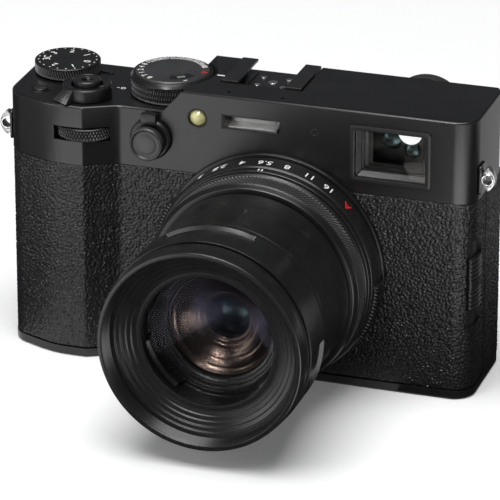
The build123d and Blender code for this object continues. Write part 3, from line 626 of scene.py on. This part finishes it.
def converter_parts():
    """The barrel and the front rim of the converter, and its glass."""
    body = NODE_BODY["converter_barrel"]
    outer = [(20.0, 14.2), (21.85, 14.2), (21.85, 18.2), (25.6, 18.2), (24.7, 24.0), (24.7, 36.2),
             (25.4, 36.4), (25.4, 37.9), (25.0, 38.1), (25.0, 38.4), (25.8, 38.7), (25.8, 40.9), (26.6, 41.4),
             (26.6, 52.4), (25.3, 52.4), (25.3, 50.6), (17.8, 50.6), (17.8, 43.8), (16.6, 43.8), (16.6, 26.4),
             (18.0, 26.4), (18.0, 19.6), (20.0, 19.6)]

    def recess(angle, ahead):
        """Three shallow bayonet recesses with a slanted end."""
        degrees = np.degrees(angle) % 360
        sink = np.zeros(np.broadcast(angle, ahead).shape)
        for middle in (95.0, 335.0, 215.0):
            gap = (degrees - middle + 180) % 360 - 180
            along = np.clip((26.0 - np.abs(gap) - np.clip(ahead - 44.8, 0, 9) * 1.2) / 0.8, 0, 1)
            across = np.clip(np.minimum(ahead - 42.2, 47.4 - ahead) / 0.25, 0, 1)
            sink = np.maximum(sink, along * across)
        return -0.9 * sink

    lathe("converter_barrel_body", dense(eased(outer, 0.16), 41.4, 52.4, 0.25), about_lens, BARREL, body, 720,
          recess, node="converter_barrel")
    rim = [(16.9, 50.7), (25.2, 50.7), (25.2, 53.2), (26.3, 53.2), (26.3, 56.0), (26.0, 58.5), (25.8, 58.7),
           (24.8, 58.7)]
    for k in range(8):
        ahead = 58.3 - k * 0.5
        rim += [(24.5, ahead), (24.2, ahead - 0.25)]
    rim += [(24.5, 54.4), (23.2, 54.3), (23.0, 53.9), (22.0, 53.6), (21.8, 53.2), (20.8, 52.9), (20.6, 52.6),
            (19.6, 52.4), (19.4, 52.1), (18.2, 51.9), (16.9, 51.9)]
    lathe("converter_front_rim", eased(rim, 0.1, 2), about_lens, BARREL, body, 240,
          node="converter_front_ring")
    glass_in_converter(body)


def dome(radius, edge, top, steps=14):
    """Half outline of a dome from its rim to the axis: (radius, ahead)."""
    sag = top - edge
    curve = (radius ** 2 + sag ** 2) / (2 * sag)
    base = top - curve
    reach = math.asin(min(radius / abs(curve), 1.0))
    return [(abs(curve) * math.sin(reach * k / steps), base + curve * math.cos(reach * k / steps))
            for k in range(steps, -1, -1)]


def glass_in_converter(body):
    """The two CAD elements, and between them the coated group, its dished mask and the pupil."""
    lathe("converter_front_lens", dome(17.79, 50.6, 53.6) + [(0, 45.2)] + dome(17.79, 44.6, 45.2)[:-1][::-1],
          about_lens, FRONT_GLASS, body, 128, node="converter_front_glass", crease=50)
    lathe("converter_rear_lens", dome(17.9, 23.0, 26.2) + [(0, 20.0), (17.9, 20.0)], about_lens, CLEAR, body,
          96, node="converter_rear_glass", crease=50)
    stack = [(16.55, 43.7), (16.2, 43.7), (16.0, 43.3), (15.3, 43.2), (15.1, 42.7), (14.5, 42.6),
             (14.2, 42.2), (13.6, 42.1), (13.4, 41.5), (13.4, 40.2), (16.55, 40.2)]
    lathe("light_baffle", eased(stack, 0.08, 2), about_lens, BARREL, body, 160)
    curve, rim_r, pupil_r, rim = 17.5, 13.3, 5.6, 41.0
    base = rim + math.sqrt(curve ** 2 - rim_r ** 2)
    bowl = [(rim_r, rim - 9.0), (rim_r, rim)]
    for radius in np.linspace(rim_r - 0.3, pupil_r, 30):
        ridge = 0.16 * max(math.exp(-((radius - r) / 0.11) ** 2) for r in (12.2, 10.2, 7.7, 6.6, 5.9))
        bowl.append((radius, base - math.sqrt(curve ** 2 - radius ** 2) + ridge))
    bowl.append((pupil_r, rim - 9.0))
    lathe("coated_mask", bowl, about_lens, PEACH, body, 160, crease=50)
    lathe("coated_group", dome(13.1, 40.2, 43.4) + [(0, 42.2)] + dome(13.1, 39.4, 42.0)[:-1][::-1],
          about_lens, LAVENDER, body, 128, crease=50)
    lathe("pupil_glass", dome(5.58, 32.6, 34.4) + [(0, 32.1), (5.58, 32.1)], about_lens, TEAL, body, 96,
          crease=50)


# ---- controls on the top ------------------------------------------------------------
def exposure_dial():
    """The dial by the grip end, in thirds of a stop."""
    x, y, _ = centre("exposure_dial")
    body, top = "exposure_dial", extent("exposure_dial")[5]
    rim = 8.5
    outline = eased([(0, 65), (2, 65), (2, DIAL_FOOT), (rim - 0.2, DIAL_FOOT), (rim, DIAL_FOOT + 0.3),
                     (rim, top - 0.25), (rim - 0.3, top), (rim - 1.0, top - 0.02), (1.2, top - 0.02),
                     (0.9, top - 0.12), (0, top - 0.12)], 0.08)
    lathe("exposure_dial_cap", dense(outline, DIAL_FOOT + 0.3, top - 0.25, 0.16), about_z(x, y), KNURLED,
          body, 1200, knurl(78, 0.4, DIAL_FOOT + 0.35, top - 0.3, 0.4), node="exposure_dial")
    labels = ["3", "", "", "2", "", "", "1", "", "", "0", "", "", "1", "", "", "2", "", "", "3", "C", ""]
    spacing, first = 360 / len(labels), 149.4
    entries = []
    for k, label in enumerate(labels):
        bearing = first - k * spacing
        entries.append(on_dial(dot(0.2), x, y, top, 7.5, bearing))
        if label:
            entries.append(on_dial(glyphs(label, 1.9), x, y, top, 5.5, bearing))
    marks("exposure_numbers", entries, WHITE, body)


def shutter_dial():
    """The speed dial with its sensitivity window, and the knurled ring round it."""
    x, y, _ = centre("shutter_dial")
    top = extent("shutter_dial")[5]
    rim = 9.55
    cap = eased([(0, 64.4), (3, 64.4), (3, DIAL_FOOT), (rim, DIAL_FOOT), (rim, top - 0.4), (rim - 0.35, top),
                 (0, top)], 0.12)
    lathe("shutter_dial_cap", cap, about_z(x, y), BRUSHED, "shutter_dial", 200, node="shutter_dial")
    speeds = ["B", "T", "1", "2", "4", "8", "15", "30", "60", "125", "250", "500", "1000", "2000", "4000"]
    entries = []
    bearing = -116.6
    for speed in speeds:
        entries.append(on_dial(glyphs(speed, 1.5, min(1.0, 2.0 / len(speed))), x, y, top, 8.2, bearing))
        bearing -= 14.65 if len(speed) < 3 else 15.9
    marks("shutter_speeds", entries, WHITE, "shutter_dial")
    marks("shutter_auto_mark", [on_dial(glyphs("A", 1.6), x, y, top, 8.35, 2.0)], RED, "shutter_dial")
    facing = -50.0
    a = math.radians(facing)
    window = [(x + r * math.cos(a + t), y + r * math.sin(a + t)) for r, sweep in ((7.3, 1), (4.7, -1))
              for t in [sweep * 0.5 * (k / 6 - 1) for k in range(0, 13)]]
    slab("iso_window", window, top - 0.01, top + 0.03, from_z, BAFFLE, "shutter_dial", 0.01)
    marks("iso_window_number", [on_dial(glyphs("400", 1.1), x, y, top + 0.03, 6.0, facing)], GREY,
          "shutter_dial")
    marks("iso_tick", [on_dial(bar(0.95, 0.32), x, y, top + 0.01, 8.7, facing)], WHITE, "shutter_dial")
    foot, crown, outer = DIAL_FOOT, top - 0.4, 10.8
    ring = eased([(9.7, foot), (outer, foot), (outer, crown - 1.1), (outer - 0.75, crown), (9.7, crown)],
                 0.08)
    lathe("iso_ring_body", dense(ring, foot, crown - 1.1, 0.16), about_z(x, y), KNURLED, "iso_ring", 1600,
          knurl(104, 0.42, foot + 0.15, crown - 1.15, 0.36, True), node="iso_ring")
    marks("shutter_index", [on_dial(bar(0.5, 2.0), x, y, UPPER + 0.02, 12.9, 0)], WHITE, "camera")


def power_lever():
    """The collar round the release, and the release with its threaded bore."""
    x, y, _ = centre("shutter_button")
    body = "power_lever"
    foot, crown = DIAL_FOOT, 72.7

    def tab_relief(angle, height):
        """A finger tab standing out of the collar, with slanted ribs on its end."""
        offset = (np.degrees(angle) + 123 + 180) % 360 - 180
        reach = 9.25 / np.maximum(np.cos(np.radians(offset)), 0.5) * 0.97
        edge = np.clip((21.0 - np.abs(offset)) / 5.0, 0, 1)
        level = np.clip((71.55 - height) / 0.15, 0, 1)
        ribs = 0.34 * np.abs(((offset * 0.24 + height * 0.9) % 1.0) * 2 - 1)
        shape = edge * edge * (3 - 2 * edge)
        return level * shape * (np.minimum(reach, 9.3) - 6.3 - ribs)

    outline = eased([(4.1, foot), (6.3, foot), (6.3, 72.35), (6.0, crown), (5.7, crown), (5.55, 72.55),
                     (4.3, 72.5), (4.1, 72.4)], 0.06)
    lathe("power_lever_collar", dense(outline, foot, 71.8, 0.12), about_z(x, y), KNURLED, body, 900,
          tab_relief, node="power_lever")
    for name, turn in (("collar_notch_a", -16), ("collar_notch_b", 158)):
        a = math.radians(turn)
        wedge = [(x + r * math.cos(a + t), y + r * math.sin(a + t)) for r, t in
                 ((4.25, -0.16), (5.3, -0.1), (5.3, 0.1), (4.25, 0.16))]
        slab(name, wedge, crown - 0.2, crown + 0.05, from_z, BRUSHED, body, 0.04)
    bore = 1.45
    button = [(0, 65.2), (1.9, 65.2), (1.9, 70.6), (3.5, 70.6), (3.5, 73.55), (3.2, 73.85), (3.0, 73.88),
              (2.75, 73.7), (2.2, 73.62), (bore + 0.25, 73.7), (bore, 73.55)]
    for k in range(6):
        button += [(bore, 73.35 - 0.4 * k), (bore - 0.15, 73.15 - 0.4 * k)]
    button += [(bore, 70.8), (0, 70.8)]
    lathe("shutter_button_cap", eased(button, 0.08, 2), about_z(x, y), ANODISED, "shutter_button", 120,
          node="shutter_button")


def release_spring():
    """The coil spring under the shutter button, built at one length; nothing here shortens it as the button
    goes down.
    """
    x, y, _ = centre("shutter_spring")
    x0, x1, _, _, low, high = extent("shutter_spring")
    wire, turns, steps, sides, travel = 0.24, 7, 28, 8, 1.0
    coil = (x1 - x0) / 2 - wire
    vertices, faces = [], []
    for k in range(turns * steps + 1):
        share = k / (turns * steps)
        turn, rise = TURN * turns * share, low + wire + (high - low - 2 * wire) * share
        for j in range(sides):
            a = TURN * j / sides
            reach = coil + wire * math.cos(a)
            vertices.append((x + reach * math.cos(turn), y + reach * math.sin(turn),
                             rise + wire * math.sin(a)))
    for k in range(turns * steps):
        faces += band(k, k + 1, sides)
    faces += [range(sides), range(len(vertices) - sides, len(vertices))]
    spring = piece("release_spring_coil", vertices, faces, SPRING, "camera", node="shutter_spring")
    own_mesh(spring)


def small_buttons():
    """The function button, the marks beside the dials, and the two command wheels."""
    x, y, _ = centre("fn_button")
    cap = [(0, 66.2), (2.7, 66.2), (2.7, 66.8), (1.88, 66.8), (1.88, LOWER + 0.3), (1.72, LOWER + 0.44),
           (1.5, LOWER + 0.42), (1.2, LOWER + 0.3), (0, LOWER + 0.26)]
    lathe("fn_button_cap", eased(cap, 0.08), about_z(x, y), ANODISED, "fn_button", 96, node="fn_button")
    collar = [(2.3, LOWER), (2.72, LOWER), (2.66, LOWER + 0.16), (2.36, LOWER + 0.16)]
    lathe("fn_button_collar", eased(collar, 0.04), about_z(x, y), PAINT, "camera", 96)
    ex, ey, _ = centre("exposure_dial")
    lean = math.radians(-13)
    index = [(ex + 10.0 + u * math.cos(lean) - v * math.sin(lean), ey + 2.1 + u * math.sin(lean)
              + v * math.cos(lean)) for u, v in box_outline(-1.9, 1.9, -0.5, 0.5, 0.4)]
    slab("exposure_index_bar", index, LOWER, LOWER + 0.35, from_z, ANODISED, "camera", 0.1)
    rx, ry, _ = centre("shutter_button")
    ring_x, ring_y = rx + 6.9, ry + 7.9
    ring = eased(box_outline(0.42, 0.66, LOWER + 0.01, LOWER + 0.03), 0.005, 1)
    lathe("power_off_mark", ring, about_z(ring_x, ring_y), WHITE, "camera", 40)
    tick, faces = bar(0.75, 0.2)
    marks("power_index", [(tick + np.array([ring_x - 1.35, ring_y, LOWER + 0.02]), faces)], WHITE, "camera")
    for name in ("front_dial", "rear_dial"):
        cx, cy, _ = centre(name)
        x0, x1, y0, y1, z0, z1 = extent(name)
        radius, low = (x1 - x0) / 2, z0 + 1.6
        wheel = eased([(0, z0), (1.2, z0), (1.2, low), (radius - 0.3, low), (radius, low + 0.25),
                       (radius, z1 - 0.25), (radius - 0.3, z1), (0, z1)], 0.06)
        lathe(name + "_wheel", dense(wheel, low + 0.2, z1 - 0.2, 0.14), about_z(cx, cy), KNURLED, name, 1200,
              knurl(58, 0.42, low + 0.2, z1 - 0.2, 0.62, True, 0.15), node=name)


def hot_shoe():
    """The shoe rails, the contacts, the springs, the marks round them, and dark discs painted as the shade in
    the microphone holes.
    """
    x0, x1, y0, y1, z0, z1 = extent("hot_shoe")
    softened("hot_shoe", 0.12)
    cx, cy, _ = centre("shoe_contacts")
    px0, px1, py0, py1, pz0, _ = extent("shoe_contacts")
    slab("contact_plate", box_outline(px0, px1, py0, py1, 0.6), pz0, pz0 + 0.25, from_z, PLASTIC, "camera",
         0.06, node="shoe_contacts")
    middle = (y0 + y1) / 2
    for k, (dx, dy, r) in enumerate(((0, 1.0, 1.25), (-3.4, 3.9, 0.85), (3.4, 3.9, 0.85), (-3.4, -1.6, 0.85),
                                     (3.4, -1.6, 0.85))):
        stud = eased([(0, pz0 + 0.1), (r, pz0 + 0.1), (r, pz0 + 0.36), (r * 0.6, pz0 + 0.44),
                      (0, pz0 + 0.44)], 0.06)
        lathe(f"contact_{k + 1}", stud, about_z(cx + dx, middle + dy), SILVER, "camera", 40)
    for side in (-1, 1):
        spring_x = (x0 + x1) / 2 + side * 6.6
        leaf = box_outline(spring_x - 0.9, spring_x + 0.9, z0 + 0.75, z0 + 0.95)
        slab(f"shoe_spring_{'left' if side < 0 else 'right'}", leaf, y0 + 1.6, y1 - 1.2, from_y, ANODISED,
             "camera", 0.05)
    cross = [on_dial(bar(0.28, 2.2), cx, y0 - 1.35, z0 + 0.1, 0, 90 + lean) for lean in (-38, 38)]
    marks("shoe_sync_mark", cross, GREY, "camera")
    # Painted shade: flat black discs on the deck stand for the dark insides of the microphone holes.
    for k, (mx, my) in enumerate(((-14.2, 5.0), (-0.4, 4.7))):
        marks(f"microphone_hole_painted_shade_{k + 1}", [on_dial(dot(0.42), mx, my - 9.2, UPPER + 0.005, 0, 0)], BAFFLE,
              "camera")


# ---- controls and windows on the front ----------------------------------------------
def finder_lever():
    """The selector on the front: its disc, its ribbed tab, and the button in it."""
    x, _, button_z = centre("finder_lever_button")
    lever_z = button_z + 0.3
    back = FRONT - 0.3
    disc = eased([(0.76, back), (5.4, back), (5.4, back - 0.9), (5.0, back - 1.35), (0.76, back - 1.35)],
                 0.12)
    lathe("finder_lever_disc", disc, about_y(x, lever_z), ANODISED, "finder_lever", 128, node="finder_lever")
    shaft = eased(box_outline(0.76, 1.48, FRONT - 0.4, FRONT + 2.6), 0.05)
    lathe("finder_lever_shaft", shaft, about_y(x, lever_z), ANODISED, "finder_lever", 48)
    count, width = 6, 3.9
    top = [(x - width / 2, lever_z + 4.5), (x + width / 2, lever_z + 4.5)]
    for k in range(count * 4 + 1):
        t = 1 - k / (count * 4)
        ripple = 0.34 * (0.5 - 0.5 * math.cos(TURN * t * count))
        top.append((x - width / 2 + width * t, lever_z + 7.5 - ripple - 0.35 * (2 * t - 1) ** 2))
    slab("finder_lever_tab", top, FRONT - 2.6, FRONT - 0.55, from_y, ANODISED, "finder_lever", 0.07)
    face = FRONT - 4.7
    cap = [(0, FRONT - 2.9), (4.4, FRONT - 2.9), (4.4, face + 0.35), (4.2, face + 0.1), (4.0, face + 0.02),
           (3.75, face + 0.12), (3.55, face + 0.35), (2.9, face + 0.42), (2.2, face + 0.3),
           (1.2, face + 0.24), (0, face + 0.22)]
    lathe("finder_lever_cap", eased(cap, 0.1), about_y(x, button_z), BRUSHED, "finder_lever_button", 128,
          node="finder_lever_button")
    stem = eased(box_outline(0, 0.7, FRONT - 3.0, FRONT + 3.2), 0.05)
    lathe("finder_lever_stem", stem, about_y(x, button_z), STEEL, "finder_lever_button", 32)


def lamp_and_flash():
    """The yellow focus lamp, the flash behind its window, and the light sensor."""
    x, _, z = centre("af_lamp")
    ring = eased([(2.12, FRONT + 1.0), (2.6, FRONT + 1.0), (2.6, FRONT - 0.1), (2.42, FRONT - 0.12),
                  (2.12, FRONT + 0.5)], 0.05)
    lathe("lamp_ring", ring, about_y(x, z), PLASTIC, "camera", 72)
    rim = 2.1
    bowl = [(0, FRONT + 1.6), (rim, FRONT + 1.6), (rim, FRONT + 0.6)]
    for k in range(1, 24):
        t = k / 24
        radius = rim * (1 - t)
        ripple = 0.03 * math.cos(TURN * t * 6)
        bowl.append((radius, FRONT + 0.55 - 1.1 * (1 - (radius / rim) ** 2) - ripple))
    bowl.append((0, FRONT - 0.58))
    lathe("lamp_dome", bowl, about_y(x, z), LAMP, "camera", 72, node="af_lamp", crease=60)
    x0, x1, y0, y1, z0, z1 = extent("flash_window")
    pane = box_outline(x0 + 0.35, x1 - 0.15, z0 + 0.15, z1 - 0.15, 0.25)
    slab("flash_pane", pane, FRONT + 0.12, FRONT + 0.5, from_y, PANE, "camera", 0.06, node="flash_window")
    outer = box_outline(x0, x1, z0, z1, 0.35)
    inner = box_outline(x0 + 0.35, x1 - 0.15, z0 + 0.25, z1 - 0.25, 0.2)
    framed("flash_frame", outer, inner, FRONT - 0.03, FRONT + 0.7, PLASTIC, "camera")
    rx0, rx1, ry0, ry1, rz0, rz1 = extent("flash_reflector")
    middle = (rz0 + rz1) / 2
    profile = [(rz0, ry0), (rz0, ry1), (rz1, ry1), (rz1, ry0), (rz1 - 0.35, ry0)]
    for k in range(1, 12):
        t = k / 12
        curve = 4 * t * (1 - t)
        profile.append((rz1 - 0.35 - (rz1 - rz0 - 0.7) * t, ry0 + 0.5 + (ry1 - ry0 - 1.0) * curve ** 0.6))
    profile.append((rz0 + 0.35, ry0))
    slab("flash_bowl", profile, rx0, rx1, lambda u, v, w: (w, v, u), BOWL, "camera", 0.05,
         node="flash_reflector", crease=40)
    tx0, tx1, ty0, ty1, tz0, tz1 = extent("flash_tube")
    tube = eased(box_outline(0, 0.6, tx0, tx1), 0.2)
    lathe("flash_tube_glass", tube, about_x((ty0 + ty1) / 2, middle), FROST, "camera", 32, node="flash_tube")
    sensor = [(0, FRONT + 0.5), (1.0, FRONT + 0.5), (1.0, FRONT - 0.1), (0.7, FRONT - 0.12),
              (0.62, FRONT + 0.15), (0, FRONT + 0.2)]
    lathe("light_sensor", eased(sensor, 0.05), about_y(10.9, 68.0), PLASTIC, "camera", 40)


def framed(name, outer, inner, y0, y1, material, body, node=None, bevel=0.08):
    """A frame between two outlines of (x, z) with the same number of points, from y0 to y1."""
    vertices = [(u, w, v) for w in (y0, y1) for ring in (outer, inner) for u, v in ring]
    faces = [face for first, second in ((0, 1), (1, 3), (3, 2), (2, 0))
             for face in band(first, second, len(outer))]
    return piece(name, vertices, faces, material, body, 32.0, node, bevel=bevel)


def finder_window():
    """The finder frame, the funnel behind its pane, and the shapes seen through it."""
    x0, x1, y0, y1, z0, z1 = extent("finder_bezel")
    rim = 1.2
    framed("finder_surround", box_outline(x0, x1, z0, z1, 0.7), box_outline(x0 + rim, x1 - rim, z0 + rim,
                                                                            z1 - rim, 0.8), FRONT - 0.55,
           FRONT + 0.9, PLASTIC, "camera", node="finder_bezel", bevel=0.15)
    px0, px1, py0, py1, pz0, pz1 = extent("finder_prism")
    start, end = (x0 + rim, x1 - rim, z1 - rim), (px0 - 0.2, px1 + 0.2, pz1 + 0.1)
    walls = []
    for depth, share, foot in ((0.6, 0, z0 + rim), (1.5, 0.3, z0 + 2.4), (1.5, 0.34, z0 + 2.7),
                               (2.0, 0.5, z0 + 2.8), (1.9, 0.55, z0 + 3.4), (2.4, 0.75, z0 + 3.5),
                               (2.3, 0.8, z0 + 4.1), (3.0, 1, z0 + 4.4)):
        low_x, high_x, high_z = (a + (b - a) * share for a, b in zip(start, end))
        walls.append((low_x, high_x, foot, high_z, depth))
    sleeve("finder_reveal", walls, 0.5, REVEAL)
    pane = box_outline(x0 + 1.35, x1 - 1.35, z0 + 1.35, z1 - 1.35, 0.7)
    slab("finder_pane", pane, FRONT + 0.05, FRONT + 0.55, from_y, PANE, "camera", 0.06, node="finder_window")
    prism = [(px0, py0 + 2.0), (px0 + 2.2, py1), (px1, py1), (px1, py0 + 2.0)]
    slab("finder_prism_glass", prism, pz0, pz1, from_z, BAFFLE, "camera", 0.15, node="finder_prism")
    for name, cx, cz, radius in (("finder_lens_a", px0 + 4.1, pz1 - 2.9, 3.0),
                                 ("finder_lens_b", px1 - 3.0, pz0 + 3.2, 2.4)):
        cup = [(0, py0 + 2.2), (radius, py0 + 2.2)]
        cup += [(radius * math.sin(t), py0 + 2.2 - 0.6 * radius * math.cos(t))
                for t in np.linspace(math.pi / 2, 0, 12)]
        lathe(name, cup, about_y(cx, cz), TEAL, "camera", 64, crease=50)
    # A glowing disc behind the prism: painted light standing in for the daylight seen through the finder.
    cx, cz = px1 - 3.2, pz1
    disc = [(cx + 3.1 * math.cos(math.pi + math.pi * k / 20), cz + 3.1 * math.sin(math.pi
                                                                                  + math.pi * k / 20) * 1.05)
            for k in range(21)]
    slab("finder_rear_light", disc, py0 - 0.12, py0 - 0.04, from_y, DAYLIGHT, "camera", 0.0)


def sleeve(name, walls, thick, material):
    """A funnel through (x0, x1, z0, z1, depth) openings, from the front plane inwards."""
    rings = [(box_outline(x0, x1, z0, z1, 0.5), depth) for x0, x1, z0, z1, depth in walls]
    for x0, x1, z0, z1, depth in walls[::-1]:
        rings.append((box_outline(x0 - thick, x1 + thick, z0 - thick, z1 + thick, 0.7), depth))
    vertices = [(u, FRONT + depth, v) for ring, depth in rings for u, v in ring]
    faces = []
    for i in range(len(rings)):
        faces += band(i, (i + 1) % len(rings), len(rings[0][0]))
    piece(name, vertices, faces, material, "camera")


# ---- ends, rear and base ------------------------------------------------------------
def strap_lugs():
    """A plate, a tab and an eyelet on each end."""
    x0, x1, y0, y1, z0, z1 = extent("strap_lugs")
    ly, lz = (y0 + y1) / 2, (z0 + z1) / 2
    for side, sign, end in (("grip", -1, LEFT), ("finder", 1, RIGHT)):
        base = box_outline(ly - 2.5, ly + 2.5, lz - 3.9, lz + 3.9, 0.9)
        near, far = sorted((end + sign * 0.03, end + sign * 0.58))
        slab(f"lug_plate_{side}", base, near, far, from_x, PAINT, "camera", 0.12,
             node="strap_lugs" if sign < 0 else None)
        eye = end + sign * 1.9
        hole = disc_outline(eye, lz, 1.2, 32)
        hull = []
        for k in range(32):
            a = TURN * k / 32
            dx, dz = math.cos(a), math.sin(a)
            reach_x = 1.88 if dx * sign > 0 else 1.6
            hull.append((eye + reach_x * dx, lz + 3.2 * dz * (1 - 0.25 * abs(dx))))
        framed(f"lug_tab_{side}", hull, hole, ly - 1.05, ly + 1.05, STEEL, "camera", bevel=0.16)
        lip = eased([(1.22, ly - 1.48), (1.5, ly - 1.48), (1.68, ly - 1.3), (1.68, ly + 1.3),
                     (1.5, ly + 1.48), (1.22, ly + 1.48)], 0.1)
        lathe(f"lug_eyelet_{side}", lip, about_y(eye, lz), SILVER, "camera", 64)


def focus_switch():
    """A ribbed slider on the front corner of the finder end."""
    _, _, y0, y1, z0, z1 = extent("focus_switch")
    path = filleted([(RIGHT - 12, FRONT), (RIGHT, FRONT), (RIGHT, FRONT + 14)], [5.6], 0.3)
    outward = outward_from(path)
    pick = (path[:, 1] > y0 + 0.02) & (path[:, 1] < y1 - 0.02)
    path, outward = path[pick], outward[pick]
    heights = np.linspace(z0, z1, 141)
    count = len(path)
    edge_z = np.clip(np.minimum(heights - z0, z1 - heights) / 0.5, 0, 1)
    edge_s = np.clip(np.minimum(np.arange(count), count - 1 - np.arange(count)) / 2.0, 0, 1)
    ribs = 0.16 * (0.5 + 0.5 * np.cos(TURN * (heights - z0) / 1.15))
    ribs[np.abs(heights - (z0 + z1) / 2) <= 1.1] = 0
    border = np.minimum.outer(edge_s, edge_z)
    lift = 0.45 * border ** 0.5 - ribs * border
    sheet("focus_switch_slider", path, outward, heights, lift, 0.9, everywhere, PLASTIC, "focus_switch",
          50.0, "focus_switch")


# ---- camera, light, floor -----------------------------------------------------------
def look_from(target, azimuth, elevation, distance):
    """Place and rotation of something that looks at the target; azimuth 0 looks along +Y."""
    a, e = math.radians(azimuth), math.radians(elevation)
    away = Vector((math.sin(a) * math.cos(e), -math.cos(a) * math.cos(e), math.sin(e)))
    return Vector(target) + away * distance, (-away).to_track_quat("-Z", "Y").to_euler()


def stage_sheet(name, x0, x1, y0, y1, z, material):
    """A flat rectangle that belongs to the studio."""
    mesh = bpy.data.meshes.new(name)
    mesh.from_pydata([(x0, y0, z), (x1, y0, z), (x1, y1, z), (x0, y1, z)], [], [(0, 1, 2, 3)])
    mesh.materials.append(material)
    thing = placed(name, mesh)
    return thing


def card(name, x0, x1, y0, y1, glow):
    """A reflector, or with no glow a black flag, lying by the object and seen only in its reflections."""
    look = finish(name, (0.01, 0.01, 0.01), 0.9, grain=40.0, patch=400.0, bump=0.0,
                  Emission_Color=(1, 1, 1, 1), Emission_Strength=glow)
    thing = stage_sheet(name, x0, x1, y0, y1, 0.0005, look)
    thing.visible_camera = False
    thing.visible_diffuse = False
    thing.visible_transmission = False
    thing.visible_shadow = False


def studio():
    """The camera, the floor, the reflection cards and the lights."""
    camera = placed("camera_view", bpy.data.cameras.new("camera_view"))
    camera.location, camera.rotation_euler = look_from((-0.00605, -0.014, 0.03407), 18.1, 23.0, 1.1075)
    camera.data.lens = 315.2
    camera.data.sensor_width = 36.0
    camera.data.clip_start = 0.01
    bpy.context.scene.camera = camera
    bpy.context.scene.view_settings.view_transform = "Standard"
    half = 6.0
    look = finish("pale_floor", (0.9, 0.9, 0.9), 0.85, grain=40.0, patch=400.0, tone=0.01, bump=0.0,
                  Specular_IOR_Level=0.1, Emission_Color=(1, 1, 1, 1), Emission_Strength=0.1)
    stage_sheet("floor", -half, half, -half, half, 0.0, look)
    world = bpy.data.worlds.new("studio")
    bpy.context.scene.world = world
    world.use_nodes = True
    world.node_tree.nodes["Background"].inputs["Color"].default_value = (0.9, 0.93, 1.0, 1)
    world.node_tree.nodes["Background"].inputs["Strength"].default_value = 0.1
    for name, x0, x1, y0, y1, glow in (
            ("left_reflector", -0.150, -0.045, -0.30, -0.085, 2.3),
            ("far_left_flag", -0.45, -0.150, -0.30, -0.045, 0.2),
            ("end_flag", -0.45, -0.073, -0.045, 0.30, 0.0),
            ("grip_flag", -0.150, -0.045, -0.085, -0.045, 0.0),
            ("lens_flag", -0.045, 0.033, -0.45, -0.02, 0.0),
            ("right_reflector", 0.033, 0.165, -0.20, -0.075, 4.0),
            ("near_flag", 0.033, 0.40, -0.075, 0.07, 0.0),
            ("corner_flag", 0.12, 0.40, 0.07, 0.13, 0.0),
            ("side_flag", 0.056, 0.12, 0.07, 0.35, 0.5),
            ("far_side_flag", 0.12, 0.40, 0.13, 0.35, 0.5)):
        card(name, x0, x1, y0, y1, glow)
    for name, target, azimuth, elevation, distance, width, height, power in (
            ("overhead", (0, -0.1, 0.03), 0, 80, 1.4, 1.2, 1.2, 26.0),
            ("left_front", (-0.02, 0, 0.05), -42, 8, 0.6, 0.22, 0.5, 1.2),
            ("front_high", (0, -0.05, 0.03), -6, 44, 0.8, 0.16, 0.16, 3.0)):
        light = bpy.data.lights.new(name, "AREA")
        light.shape = "RECTANGLE"
        light.size, light.size_y, light.energy = width, height, power
        holder = placed(name, light)
        holder.location, holder.rotation_euler = look_from(target, azimuth, elevation, distance)
        holder.visible_camera = False
        holder.visible_diffuse = name != "front_high"


studio()
for node, thing in frame["nodes"].items():
    thing.material_slots[0].material = SLOT_LOOK[NODE_SLOT[node]]
leatherette()
lens_parts()
converter_parts()
exposure_dial()
shutter_dial()
power_lever()
release_spring()
small_buttons()
hot_shoe()
finder_lever()
lamp_and_flash()
finder_window()
strap_lugs()
focus_switch()
for node, size in (("top_cover", 0.12), ("bottom_cover", 0.2), ("rear_cover", 0.2), ("chassis", 0.1),
                   ("screen_housing", 0.25), ("screen_glass", 0.15), ("screen_arm", 0.15),
                   ("battery_door", 0.15), ("battery_latch", 0.08), ("connector_door", 0.1),
                   ("lens_barrel", 0.12), ("eyepiece", 0.2), ("diopter_dial", 0.1), ("menu_button", 0.1),
                   ("display_button", 0.1), ("playback_button", 0.1), ("drive_button", 0.1),
                   ("joystick", 0.2), ("tripod_socket", 0.15), ("body_screws", 0.08)):
    softened(node, size)
